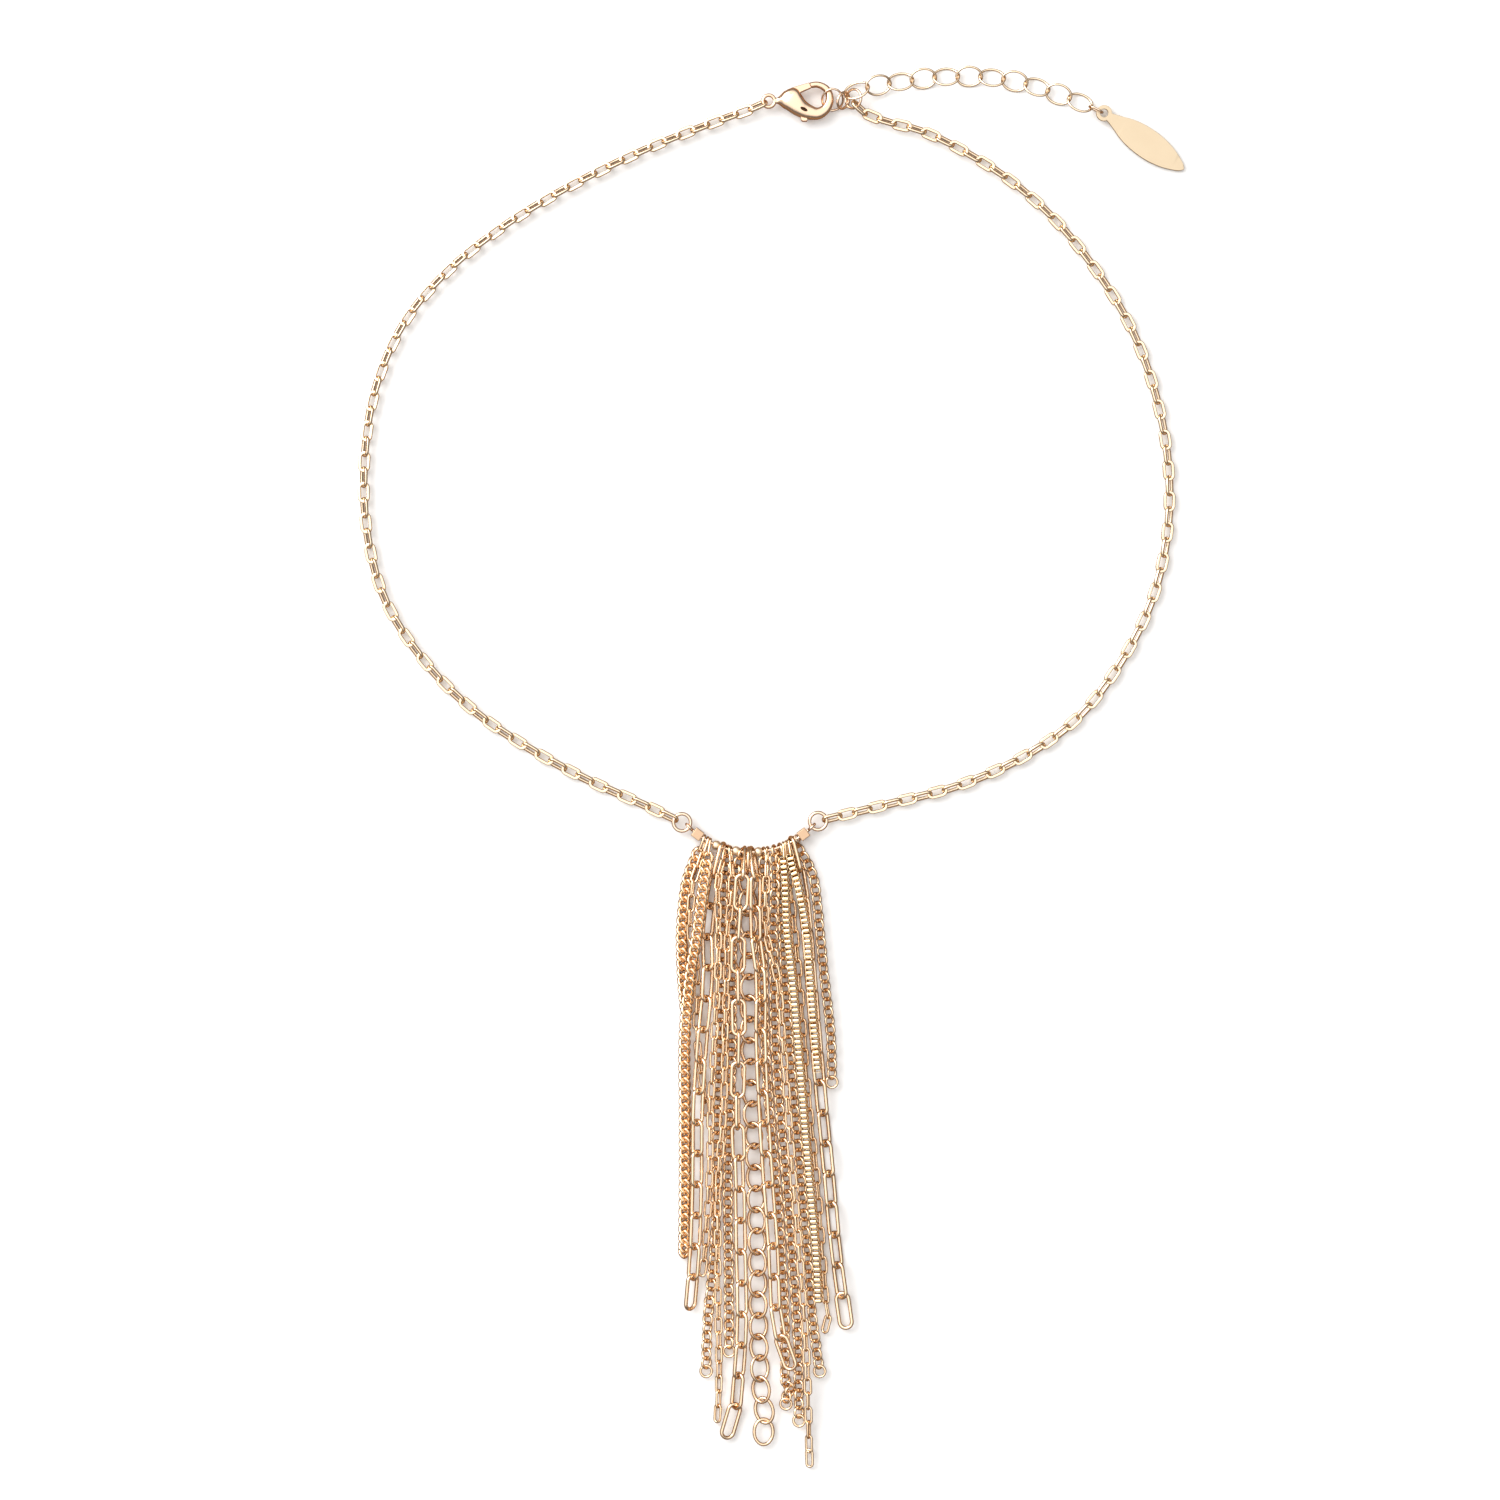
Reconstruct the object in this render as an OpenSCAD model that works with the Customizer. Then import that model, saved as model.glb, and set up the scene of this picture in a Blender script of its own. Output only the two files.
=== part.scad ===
// Chain necklace lying flat, with a fringe of twenty mixed chains on a curved wire.
// The neck chain is a cable chain in two halves. A lobster clasp and an extender with
// a leaf-shaped tag close it. Sizes in mm, +Y points to the clasp, +Z up, floor at z = 0.

/* [Neck chain] */
// Outside length of one cable link
neck_l = 3.55; // [2.6:0.05:5]
// Outside width of one cable link
neck_w = 1.9; // [1.5:0.05:3]
// Thickness of the wire of the cable links
neck_wire = 0.4; // [0.3:0.02:0.6]
// Height of the chain's middle line above the floor
neck_z = 1; // [0.9:0.01:2]

/* [Fringe bar] */
// Radius of the curved wire, at its middle line
bar_r = 14.8; // [12:0.1:20]
// Thickness of the curved wire
bar_wire = 0.5; // [0.4:0.05:0.8]
// Angle from the middle of the wire to each end eye
bar_half = 44.6; // [35:0.1:55]
// Height of the wire's middle line above the floor
bar_z = 1.3; // [1:0.05:2]
// Radius of each end eye, at its middle line
eye_r = 0.65; // [0.6:0.01:1]

/* [Rings on the bar] */
// Outside diameter of the jump rings
jump_od = 3.4; // [2.8:0.1:5]
// Thickness of the jump rings' wire
jump_wire = 0.48; // [0.3:0.02:0.7]

/* [Beads] */
// Side of the square beads
square_bead = 1.7; // [1.4:0.05:2]
// Diameter of the round beads
round_bead = 1.4; // [1.2:0.05:1.8]
// Diameter of every bead's hole
bead_hole = 0.78; // [0.7:0.01:0.9]
// Outside diameter of the small disc
disc_od = 1.5; // [1.2:0.05:2]
// Thickness of the small disc along the wire
disc_t = 0.35; // [0.2:0.01:0.4]

/* [Fringe chains] */
// Outside length of the bold paperclip links
bold_l = 6.35; // [5:0.05:8]
// Outside width of the bold paperclip links
bold_w = 2.6; // [2:0.05:3]
// Wire of the bold paperclip links
bold_wire = 0.45; // [0.3:0.01:0.6]
// Outside length of the heavy oval links
oval_l = 4.85; // [4:0.05:6]
// Outside width of the heavy oval links
oval_w = 3.1; // [2.5:0.05:3.5]
// Wire of the heavy oval links
oval_wire = 0.55; // [0.4:0.01:0.7]

/* [Extender] */
// Outside length of the extender links
ext_l = 4.8; // [4:0.05:6]
// Outside width of the extender links
ext_w = 3.7; // [3:0.05:4.5]
// Wire of the extender links
ext_wire = 0.38; // [0.3:0.01:0.6]
// Number of extender links
ext_count = 11; // [6:1:11]

/* [Tag] */
// Length of the leaf from the middle of its eye to its tip
tag_l = 16.6; // [10:0.1:25]
// Greatest width of the leaf
tag_w = 5; // [3:0.1:8]
// Thickness of the leaf
tag_t = 0.6; // [0.4:0.05:1]
// Outside diameter of the leaf's eye
tag_eye_od = 2.7; // [2.4:0.05:4]
// Diameter of the leaf's hole
tag_hole = 1.4; // [1.2:0.05:2]

/* [Clasp] */
// Thickness of the clasp's body
clasp_t = 3; // [2.4:0.1:4]
// Thickness of the hook
hook_t = 1.55; // [1.4:0.05:2.2]
// Thickness of the lever
lever_t = 1; // [0.8:0.05:1.3]
// Diameter of the pivot pin
pin_d = 0.6; // [0.4:0.05:0.8]

/* [Hidden] */
// Air left between links and between loose pieces
gap = 0.12;

// Colours by metal finish
rose = [0.86, 0.66, 0.52];
pale = [0.93, 0.80, 0.68];
warm = [0.80, 0.56, 0.40];

// Steps round a ring, round a wire, round the hook and round the bar's circle
fine_fn = 32;
wire_fn = 24;
hook_fn = 48;
bar_fn = 96;

// Bar
bar_centre = [-3.65, 0.2];
jump_r = (jump_od - jump_wire)/2;
// Direction from each eye to the middle of its jump ring
jump_left_dir = [-0.85, 0.527];
jump_right_dir = [0.74, 0.673];

// Neck chain
// Middle lines of the two halves, from the jump ring to the clasp or joining ring.
neck_left_route = [
  [-21.7, -6.6], [-31.6, -2.2], [-41.4, 3.1], [-50.9, 9.6], [-59.2, 18], [-65.7, 28.2],
  [-68.8, 39.9], [-69.2, 52], [-67.4, 63.9], [-62.8, 74.8], [-55.5, 83.7], [-46.7, 90.9],
  [-37.7, 96.6], [-28.8, 101.3], [-19.9, 105.4], [-10.4, 109.1]];
neck_right_route = [
  [20.8, -6.2], [31.7, -3.3], [42.4, 1.4], [51.9, 8.2], [59.2, 17.6], [64.6, 28.4],
  [67.2, 40.2], [67.2, 52], [65, 63.5], [61, 74.3], [55.2, 83.9], [48.1, 92.7],
  [40.2, 99.6], [32, 104.7], [25.5, 107.8]];

// Clasp and the rings beside it
clasp_at = [-0.55, 112.8, clasp_t/2];
clasp_eye_r = 1;
clasp_eye_wire = 0.4;
clasp_link_size = [4, 3.5, 0.38];
clasp_link_at = [10.16, 112.98, 1.89];
clasp_link_turn = [64, -15, -14.5];
cluster_od = 3.2;
cluster_wire = 0.38;
cluster_at = [12.08, 112.91, 1.52];
cluster_turn = [0, -128, -23.7];
joining_od = 3.1;
joining_wire = 0.4;
joining_at = [13.62, 113.19, 1.11];
joining_turn = [-28.4, -26, 0];

// Extender and tag ring
first_at = [14.35, 114.6, 1.53];
first_turn = [-36.4, -11.7, 17];
ext_air = 0.14;
ext_pitch = ext_l - 2*ext_wire - ext_air;
ext_route = [
  [17.9, 115.5, 1.35], [21.5, 116.1, 1.04], [25.3, 116.7, 1], [29.1, 117, 1],
  [33.3, 117.1, 1], [37.5, 116.9, 1], [41.3, 116.3, 1], [45.2, 115.2, 1],
  [49.1, 113.9, 1], [52.7, 112.5, 1], [57, 110.5, 1]];
tag_ring_l = 2.8;
tag_ring_w = 2.1;
// From the last joint to the middle of the leaf's eye
tag_reach = 2.5;
tag_ring_wire = 0.35;
floor_air = 0.02;
tag_turn = -34.8;

// Strands of the fringe
// Distances below the middle of the arc at which every strand's route is given
station_y = [-17, -20, -28, -36, -46, -58, -70, -82, -94, -104, -116];
// Columns: name, x on the bar, x at each station, z at each station, foot
strands = [
  ["curb_b", -11.6, [-13.5, -14.5, -15.3, -15.1], [0.9, 0.75, 0.7, 0.7], [-14.6, -41.5, 0.7]],
  ["fine_b", -11.05, [-12.5, -13.4, -13.9, -12.6, -12.75, -11.3],
    [1.9, 2.1, 2.05, 0.8, 0.75, 0.7], [-11.2, -58.8, 0.7]],
  ["curb_a", -10.5, [-11.15, -11.6, -12.6, -13.9, -14.8, -14.8, -14.8, -14.9],
    [2.5, 3.1, 3.4, 2.7, 1.6, 0.75, 0.7, 0.7], [-14.9, -82.5, 0.7]],
  ["paperclip_c", -8.4, [-9.2, -9.9, -11, -10.85, -11.8, -12.6, -12.7, -13.1],
    [1.35, 1.25, 1.2, 2, 2.6, 2.5, 2.3, 2.4], [-13.9, -91.8, 1.2]],
  ["fine_d", -7.93, [-8.5, -9.2, -9.1, -9.2, -9.8, -10.4, -10.6, -11.35],
    [2.6, 3.1, 2.7, 3.1, 2.6, 2.5, 2.5, 0.85], [-11.9, -86.4, 0.7]],
  ["round_a", -7.48, [-7.9, -8.25, -8.5, -8.6, -8.8, -9.3, -9.35, -9.75, -10.9],
    [1.05, 0.9, 0.85, 0.85, 0.85, 0.85, 0.85, 0.85, 0.85], [-11.2, -103.5, 0.85]],
  ["fine_e", -7.03, [-6.9, -6.75, -7.5, -7.7, -8, -8.2, -9.1, -9.2, -9.1, -9],
    [2, 2.45, 2.5, 2.5, 2.5, 2.5, 2.5, 2.5, 1.3, 0.75], [-9.3, -111.2, 0.7]],
  ["round_b", -5.2, [-5.95, -6.55, -6.7, -6.75, -6.8, -7.1, -7.5, -7.4, -7.3],
    [1.05, 0.9, 0.85, 0.85, 0.85, 0.85, 0.85, 0.85, 0.85], [-7.3, -100.1, 0.85]],
  ["paperclip_g", -4.78, [-5.05, -5.08, -5.65, -5.8, -5.6, -5.9, -5.5, -5.3, -5.1, -5.7],
    [3.28, 3.8, 3.4, 3.2, 3.1, 2.9, 2.8, 2.8, 2.8, 1.6], [-6.6, -113.9, 1.1]],
  ["oval_h", -4, [-4.1, -4.2, -4, -3.9, -3.8, -3.4, -2.8, -2.5, -2.35, -2],
    [1.74, 1.3, 0.98, 0.97, 0.97, 0.97, 0.97, 0.97, 0.97, 0.97], [-1.1, -114.8, 0.97]],
  ["paperclip_i", -3.35, [-3, -2.75, -2.85, -1.9, -1.95, -1.45, -0.7, 0.2, 0.8],
    [2.95, 3.4, 3.1, 3.05, 3, 3, 3, 3, 3], [3.2, -101.7, 3]],
  ["round_j", -1.4, [-1.45, -1.45, -1.55, -1.5, -1.25, -0.5, 0.65, 1.5, 2.2, 2.4],
    [1.05, 0.9, 0.85, 0.85, 0.85, 0.85, 0.85, 0.85, 0.85, 0.85], [2.5, -109, 0.85]],
  ["fine_p", -0.75, [-0.9, -1, -1.05, 0.9, 1.8, 2.7, 3.6, 4.6, 5.5, 6, 6.3],
    [2.1, 2.55, 2.7, 2.6, 2.5, 2.5, 2.5, 2.5, 2.5, 2.5, 0.9], [6.4, -118.8, 0.7]],
  ["round_l", 0.35, [0.4, 0.55, 0.15, 0.4, 0.5, 1.3, 2.4, 3.3, 4.2, 4.5],
    [2, 2.4, 1.45, 0.85, 0.85, 0.85, 0.85, 0.85, 0.85, 0.85], [4.6, -111.9, 0.85]],
  ["round_m", 1.3, [1.4, 1.45, 1.9, 2.2, 2.8, 3.8, 4.9, 5.9, 6.9],
    [1.05, 0.9, 0.85, 0.85, 0.85, 0.85, 0.85, 0.85, 0.85], [8.2, -103.5, 0.85]],
  ["box_a", 1.9, [2.1, 2.3, 2.6, 3.5, 4.4, 5.4, 6.4, 7.5],
    [2.1, 2.5, 2.5, 2.5, 2.5, 2.5, 2.5, 2.5], [7.9, -90.8, 2.5]],
  ["fine_n", 2.4, [2.7, 3.05, 3.85, 4.6, 5.35, 6.3, 7.6, 8.5],
    [0.95, 0.75, 0.7, 0.7, 0.7, 0.7, 0.7, 0.7], [9.2, -95.9, 0.7]],
  ["box_b", 2.85, [3.5, 4.4, 5.9, 6.5, 7.3], [2.5, 3.3, 3.3, 3.3, 3.3], [7.8, -51.7, 3.3]],
  ["paperclip_o", 3.35, [4.4, 5.05, 5.95, 6.6, 7.4, 8.5, 9.7, 10.8],
    [1.3, 1.1, 1, 1, 1, 1, 1, 1], [12.6, -95, 1]],
  ["round_q", 3.8, [6.3, 7.25, 8.1, 8.9, 10], [0.95, 0.85, 0.85, 0.85, 0.85],
    [10.15, -54.4, 0.85]]];

// Half width and half height of each thin strand's cord, and of its narrow top
thin_size = [
  ["fine", [0.65, 0.65], 0.16],
  ["round", [0.8, 0.8], 0.16],
  ["curb", [0.95, 0.6], 0.25],
  ["box", [0.57, 0.57], 0.2],
  ["bold", [0.9, 0.9], 0.2]];
// Share of the full size at the first two stations
top_share = [0.5, 0.92];
cord_sides = 8;
// Distance from the bar's middle line to the narrow top
cord_start = 0.65;

// Routes: smooth lines, and points by distance run
function unit(v) = v/norm(v);

function blend(a, b, c, d, t) =
  0.5*(2*b + (c - a)*t + (2*a - 5*b + 4*c - d)*t*t + (3*b - a - 3*c + d)*t*t*t);

// Smooth line through the points, eight steps to a span
function smooth(p, k = 8) = let (n = len(p) - 1) concat(
  [for (i = [0 : n - 1]) for (j = [0 : k - 1])
    blend(p[max(i - 1, 0)], p[i], p[i + 1], p[min(i + 2, n)], j/k)],
  [p[n]]);

// Distance run at each point of a line
function runs(q, i = 1, acc = [0]) = i == len(q) ? acc
  : runs(q, i + 1, concat(acc, [acc[i - 1] + norm(q[i] - q[i - 1])]));

// Tables of distance run against x, y and z
function track(q) = let (s = runs(q))
  [for (a = [0 : 2]) [for (i = [0 : len(q) - 1]) [s[i], q[i][a]]]];

function at(t, s) = [for (a = [0 : 2]) lookup(s, t[a])];

function track_length(t) = t[0][len(t[0]) - 1][0];

// Point of the bar at a given x
function on_bar(x, z = bar_z) =
  [x, bar_centre.y - sqrt(pow(bar_r, 2) - pow(x - bar_centre.x, 2)), z];

// Point of the bar at a given angle from its middle
function at_angle(a) =
  [bar_centre.x + bar_r*sin(a), bar_centre.y - bar_r*cos(a), bar_z];

// Links, rings and chains of links
// One closed oval link, long way along x, lying flat
module link(l, w, d) {
  r = (w - d)/2;
  s = l - w;
  for (e = [-1, 1]) {
    translate([e*s/2, 0, 0]) rotate([0, 0, e > 0 ? -90 : 90])
      rotate_extrude(angle = 180, $fn = fine_fn) translate([r, 0]) circle(d = d, $fn = wire_fn);
    translate([-s/2, e*r, 0]) rotate([0, 90, 0]) cylinder(d = d, h = s, $fn = wire_fn);
  }
}

// One closed round ring, lying flat
module ring(od, d) {
  rotate_extrude($fn = fine_fn) translate([(od - d)/2, 0]) circle(d = d, $fn = wire_fn);
}

// A link between two joints, rolled about its own length
module link_between(a, b, roll, l, w, d) {
  v = b - a;
  translate((a + b)/2) rotate([roll, -asin(v.z/norm(v)), atan2(v.y, v.x)]) link(l, w, d);
}

// A chain of links at an even pitch along a track
module chain(t, count, rolls, l, w, d) {
  pitch = track_length(t)/count;
  for (i = [0 : count - 1])
    link_between(at(t, i*pitch), at(t, (i + 1)*pitch), rolls[i], l, w, d);
}

// Neck chain, in two halves
neck_pitch = neck_l - 2*neck_wire - gap;
// Joint inside a ring, off its middle towards the chain
function ring_joint(c, dir, r, d) = c + unit(dir)*(r - (d + gap)/2);

function lifted(p, z) = [for (v = p) [v.x, v.y, z]];

// Direction from each jump ring's middle to its first link, and from the clasp's eye
neck_left_dir = [-0.908, 0.42, 0];
neck_right_dir = [0.972, 0.236, 0];
clasp_eye_dir = [-0.92, -0.4, 0];

jump_left_at = at_angle(-bar_half) + jump_r*[jump_left_dir.x, jump_left_dir.y, 0];
jump_right_at = at_angle(bar_half) + jump_r*[jump_right_dir.x, jump_right_dir.y, 0];

neck_left_points = concat(
  [ring_joint(jump_left_at, neck_left_dir, jump_r, jump_wire)],
  lifted(neck_left_route, neck_z),
  [[-3.6, 111.5, 1.3],
   ring_joint(clasp_at, clasp_eye_dir, clasp_eye_r, clasp_eye_wire)]);
// Point of the joining ring's wire that the last link hangs on
joining_hold = [13.9, 112.39, 2.02];
neck_right_points = concat(
  [ring_joint(jump_right_at, neck_right_dir, jump_r, jump_wire)],
  lifted(neck_right_route, neck_z),
  [[20.2, 109.2, 1], [16.1, 110.6, 1.2], joining_hold]);

// Even number of half turns, so that both end links stand on edge
function neck_count(t) = 2*ceil((track_length(t)/neck_pitch - 1)/2) + 1;
// Lean of every link, and the number of links over which it grows from either end
neck_lean = 20;
lean_links = 4;
function neck_rolls(n) = [for (i = [0 : n - 1])
  90*(i + 1) + neck_lean*min(1, min(i, n - 1 - i)/lean_links)];

module neck_half(points) {
  t = track(smooth(points));
  n = neck_count(t);
  chain(t, n, neck_rolls(n), neck_l, neck_w, neck_wire);
}

module neck_chain_left() color(rose) neck_half(neck_left_points);
module neck_chain_right() color(rose) neck_half(neck_right_points);

// Lobster clasp
// Outlines are measured from the middle of the end eye, x towards the hook
pivot = [3.7, 1.2];
hook_middle = [7.7, 0.3];
hook_r = 2.45;
hook_w = 1.25;
// Where the hook's arc starts, and how far it goes
hook_from = -118;
hook_sweep = 224;
body_middle = [4.4, 0];
// Block of solder between the eye and the body
solder = [0.5, 0.8, 0.8];
body_outline = [
  [1.1, 0.4], [1.8, 0.5], [2.5, 1.25], [3.3, 2.05], [4.1, 2.5], [4.8, 2.6], [5.1, 1.9],
  [5.35, 1.1], [5.8, 0.3], [6.4, -0.35], [7.1, -0.8], [7.6, -1.4], [7.6, -2.5],
  [7.2, -2.85], [6.3, -2.85], [5.1, -2.45], [3.6, -1.7], [2.5, -1.15], [1.8, -0.5], [1.1, -0.4]];
// Room for the lever and its swing
slot_outline = [
  [2.75, 3.2], [7.6, 3.2], [5.9, 0.9], [6.3, -1.6], [6.5, -4.5], [1.6, -4.5], [2.75, -1.2]];
lever_outline = [
  [6.72, 2.98], [5.7, 2.9], [4.7, 2.62], [3.8, 2.05], [3.15, 1.55], [3, 1.1], [3.2, 0.6],
  [3.75, -0.6], [4.55, -2.1], [4.75, -3], [5.2, -3.6], [5.75, -3.6], [6.1, -3.1],
  [5.85, -2.3], [5.2, -0.9], [4.75, 0.1], [4.6, 0.8], [5, 1.35], [5.9, 1.75], [7.28, 2.14]];
// Face of the hook's tip, slanted over the end of the gate
seam_at = [7.2, 2.55];
seam_turn = 35;
seam_block = [3, 2.4];
// Air on each side of the lever, and across the pin in the body and in the lever
slot_air = 0.15;
body_bore_air = 0.1;
lever_bore_air = 0.12;
// Distance of the pin's ends below the body's faces
pin_inset = 0.1;
// Height of the rounded-over layers of the body, and how far they draw in
shoulder = 0.35;
draw_in = 0.9;

module clasp_layer(outline, z0, z1, share) {
  translate([body_middle.x, body_middle.y, z0]) linear_extrude(z1 - z0)
    scale([share, share]) translate(-body_middle) polygon(outline);
}

module hook() {
  flat = (hook_t - hook_w)/2;
  translate([hook_middle.x, hook_middle.y, clasp_t/2]) rotate([0, 0, hook_from])
    rotate_extrude(angle = hook_sweep, $fn = hook_fn) translate([hook_r, 0]) {
      square([hook_w, 2*flat], center = true);
      for (e = [-1, 1]) translate([0, e*flat]) circle(d = hook_w, $fn = wire_fn);
    }
}

module clasp_body() color(pale) translate([clasp_at.x, clasp_at.y, 0]) {
  translate([0, 0, clasp_t/2]) ring(2*clasp_eye_r + clasp_eye_wire, clasp_eye_wire);
  translate([clasp_eye_r, -solder.y/2, clasp_t/2 - solder.z/2]) cube(solder);
  difference() {
    union() {
      clasp_layer(body_outline, 0, shoulder, draw_in);
      clasp_layer(body_outline, shoulder, clasp_t - shoulder, 1);
      clasp_layer(body_outline, clasp_t - shoulder, clasp_t, draw_in);
      hook();
    }
    translate([0, 0, (clasp_t - lever_t)/2 - slot_air]) linear_extrude(lever_t + 2*slot_air)
      polygon(slot_outline);
    translate([pivot.x, pivot.y, -1])
      cylinder(d = pin_d + body_bore_air, h = clasp_t + 2, $fn = wire_fn);
    translate([seam_at.x, seam_at.y, 0]) rotate([0, 0, seam_turn])
      translate([-seam_block.x, -seam_block.y/2, -1]) cube([seam_block.x, seam_block.y, clasp_t + 2]);
  }
}

module clasp_lever() color(pale)
  translate([clasp_at.x, clasp_at.y, (clasp_t - lever_t)/2]) linear_extrude(lever_t)
    difference() {
      polygon(lever_outline);
      translate(pivot) circle(d = pin_d + lever_bore_air, $fn = wire_fn);
    }

module clasp_pin() color(pale)
  translate([clasp_at.x + pivot.x, clasp_at.y + pivot.y, pin_inset])
    cylinder(d = pin_d, h = clasp_t - 2*pin_inset, $fn = wire_fn);

module clasp_link() color(rose) translate(clasp_link_at) rotate(clasp_link_turn)
  link(clasp_link_size[0], clasp_link_size[1], clasp_link_size[2]);

module cluster_ring() color(rose) translate(cluster_at) rotate(cluster_turn)
  ring(cluster_od, cluster_wire);

module joining_ring() color(rose) translate(joining_at) rotate(joining_turn)
  ring(joining_od, joining_wire);

// Extender, with the tag at its end
first_dir = [cos(first_turn.z)*cos(first_turn.y), sin(first_turn.z)*cos(first_turn.y),
  -sin(first_turn.y)];
ext_start = first_at + first_dir*ext_pitch/2;
ext_track = track(smooth(concat([ext_start], ext_route)));
ext_lean = 28;
// The last joint, the direction there and the tag's place
ext_end = at(ext_track, (ext_count - 1)*ext_pitch);
ext_dir = unit(at(ext_track, (ext_count - 1)*ext_pitch + 1) - ext_end);
tag_ring_at = ext_end + ext_dir*(tag_ring_l/2 - (tag_ring_wire + gap)/2 - tag_ring_wire/2);
tag_eye_at = ext_end + ext_dir*tag_reach;
tag_eye_z = tag_ring_w/2 + floor_air;

module extender() color(rose) {
  translate(first_at) rotate(first_turn) link(ext_l, ext_w, ext_wire);
  for (i = [0 : ext_count - 2])
    link_between(at(ext_track, i*ext_pitch), at(ext_track, (i + 1)*ext_pitch),
      i % 2 == 0 ? ext_lean : -ext_lean, ext_l, ext_w, ext_wire);
}

module tag_ring() color(rose)
  translate([tag_ring_at.x, tag_ring_at.y, tag_eye_z])
    rotate([90, 0, atan2(ext_dir.y, ext_dir.x)]) link(tag_ring_l, tag_ring_w, tag_ring_wire);

// Shares of the leaf's length, and of its half width there
leaf = [[0.06, 0.28], [0.18, 0.54], [0.28, 0.78], [0.4, 0.94], [0.54, 1], [0.67, 0.94],
  [0.8, 0.75], [0.91, 0.46], [0.97, 0.24], [1, 0]];
leaf_side = smooth([for (p = leaf) [p.x*tag_l, p.y*tag_w/2]], 4);
tag_tilt = asin((tag_eye_z - tag_t/2)/tag_l);

module tag() color(pale) translate([tag_eye_at.x, tag_eye_at.y, tag_eye_z])
  rotate([0, 0, tag_turn]) rotate([0, tag_tilt, 0]) translate([0, 0, -tag_t/2]) difference() {
    union() {
      cylinder(d = tag_eye_od, h = tag_t, $fn = fine_fn);
      linear_extrude(tag_t) polygon(concat(leaf_side,
        [for (i = [len(leaf_side) - 2 : -1 : 0]) [leaf_side[i].x, -leaf_side[i].y]]));
    }
    translate([0, 0, -1]) cylinder(d = tag_hole, h = tag_t + 2, $fn = fine_fn);
  }

// Bar with its rings and beads
module bar() color(rose) {
  eye_angle = asin(eye_r/bar_r);
  reach = bar_half - eye_angle;
  translate([bar_centre.x, bar_centre.y, bar_z]) rotate([0, 0, -90 - reach])
    rotate_extrude(angle = 2*reach, $fn = bar_fn) translate([bar_r, 0])
      circle(d = bar_wire, $fn = wire_fn);
  for (e = [-1, 1]) translate(at_angle(e*bar_half)) rotate([90, 0, e*bar_half])
    ring(2*eye_r + bar_wire, bar_wire);
}

module jump_ring_left() color(rose) translate(jump_left_at) ring(jump_od, jump_wire);
module jump_ring_right() color(rose) translate(jump_right_at) ring(jump_od, jump_wire);

// Angle of the square beads, and x of the round beads and of the disc
square_angle = 37.3;
round_bead_x = [-9.45, -6.1, -2.3];
disc_x = 4.3;
module square_on_bar(a) {
  translate(at_angle(a)) rotate([0, 0, a]) difference() {
    cube(square_bead, center = true);
    rotate([0, 90, 0]) cylinder(d = bead_hole, h = 2*square_bead, center = true, $fn = wire_fn);
  }
}

module square_bead_left() color(pale) square_on_bar(-square_angle);
module square_bead_right() color(pale) square_on_bar(square_angle);

function bar_angle(x) = asin((x - bar_centre.x)/bar_r);

module ball_on_bar(x) {
  translate(on_bar(x)) rotate([0, 0, bar_angle(x)]) rotate([0, 90, 0])
    rotate_extrude($fn = fine_fn) difference() {
      circle(d = round_bead, $fn = fine_fn);
      translate([-round_bead, -round_bead]) square([round_bead + bead_hole/2, 2*round_bead]);
    }
}

module round_bead_1() color(pale) ball_on_bar(round_bead_x[0]);
module round_bead_2() color(pale) ball_on_bar(round_bead_x[1]);
module round_bead_3() color(pale) ball_on_bar(round_bead_x[2]);

module bar_disc() color(pale)
  translate(on_bar(disc_x)) rotate([0, 0, bar_angle(disc_x)]) rotate([0, 90, 0]) difference() {
    cylinder(d = disc_od, h = disc_t, center = true, $fn = fine_fn);
    cylinder(d = bead_hole, h = 2*disc_t, center = true, $fn = wire_fn);
  }

// Strands, each hung on the bar
function strand(name) = strands[search([name], strands)[0]];

function strand_points(row, z) = concat(
  [on_bar(row[1], z)],
  [for (i = [0 : len(row[2]) - 1]) [row[2][i], station_y[i], row[3][i]]],
  [row[4]]);

// Starts behind the bar, so that the first link goes round it
bar_air = 0.04;
function hung(q) = concat([q[0] - unit(q[1] - q[0])*((bar_wire + gap)/2 + bar_air)], q);

// Cord that stands for a finer chain: rings at the route's own points
module cord(name, kind) {
  row = strand(name);
  size = thin_size[search([kind], thin_size)[0]];
  p = strand_points(row, bar_z);
  n = len(p) - 1;
  start = p[0] + unit(p[1] - p[0])*cord_start;
  middles = [for (i = [0 : n]) i == 0 ? start : p[i]];
  widths = [for (i = [0 : n]) i == 0 ? [size[2], size[2]]
    : size[1]*(i <= len(top_share) ? top_share[i - 1] : 1)];
  rings = [for (i = [0 : n]) let (
      t = unit(middles[min(i + 1, n)] - middles[max(i - 1, 0)]),
      side = unit([-t.y, t.x, 0]),
      up = cross(t, side))
    for (k = [0 : cord_sides - 1]) middles[i]
      + side*widths[i].x*cos(k*360/cord_sides) + up*widths[i].y*sin(k*360/cord_sides)];
  polyhedron(points = rings, convexity = 4, faces = concat(
    [[for (k = [cord_sides - 1 : -1 : 0]) k]],
    [[for (k = [0 : cord_sides - 1]) n*cord_sides + k]],
    [for (i = [0 : n - 1]) for (k = [0 : cord_sides - 1]) let (
        a = i*cord_sides + k, b = i*cord_sides + (k + 1) % cord_sides)
      [a, b, b + cord_sides, a + cord_sides]]));
}

// Rolls of the bold strands: from the top value to the foot value past the middle
turn_from = 0.4;
turn_share = 0.2;
function bold_rolls(n, first, top, foot) = [for (i = [0 : n - 1]) i == 0 ? first
  : 90*(i + 1) + top + (foot - top)*min(max((i/(n - 1) - turn_from)/turn_share, 0), 1)];

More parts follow.
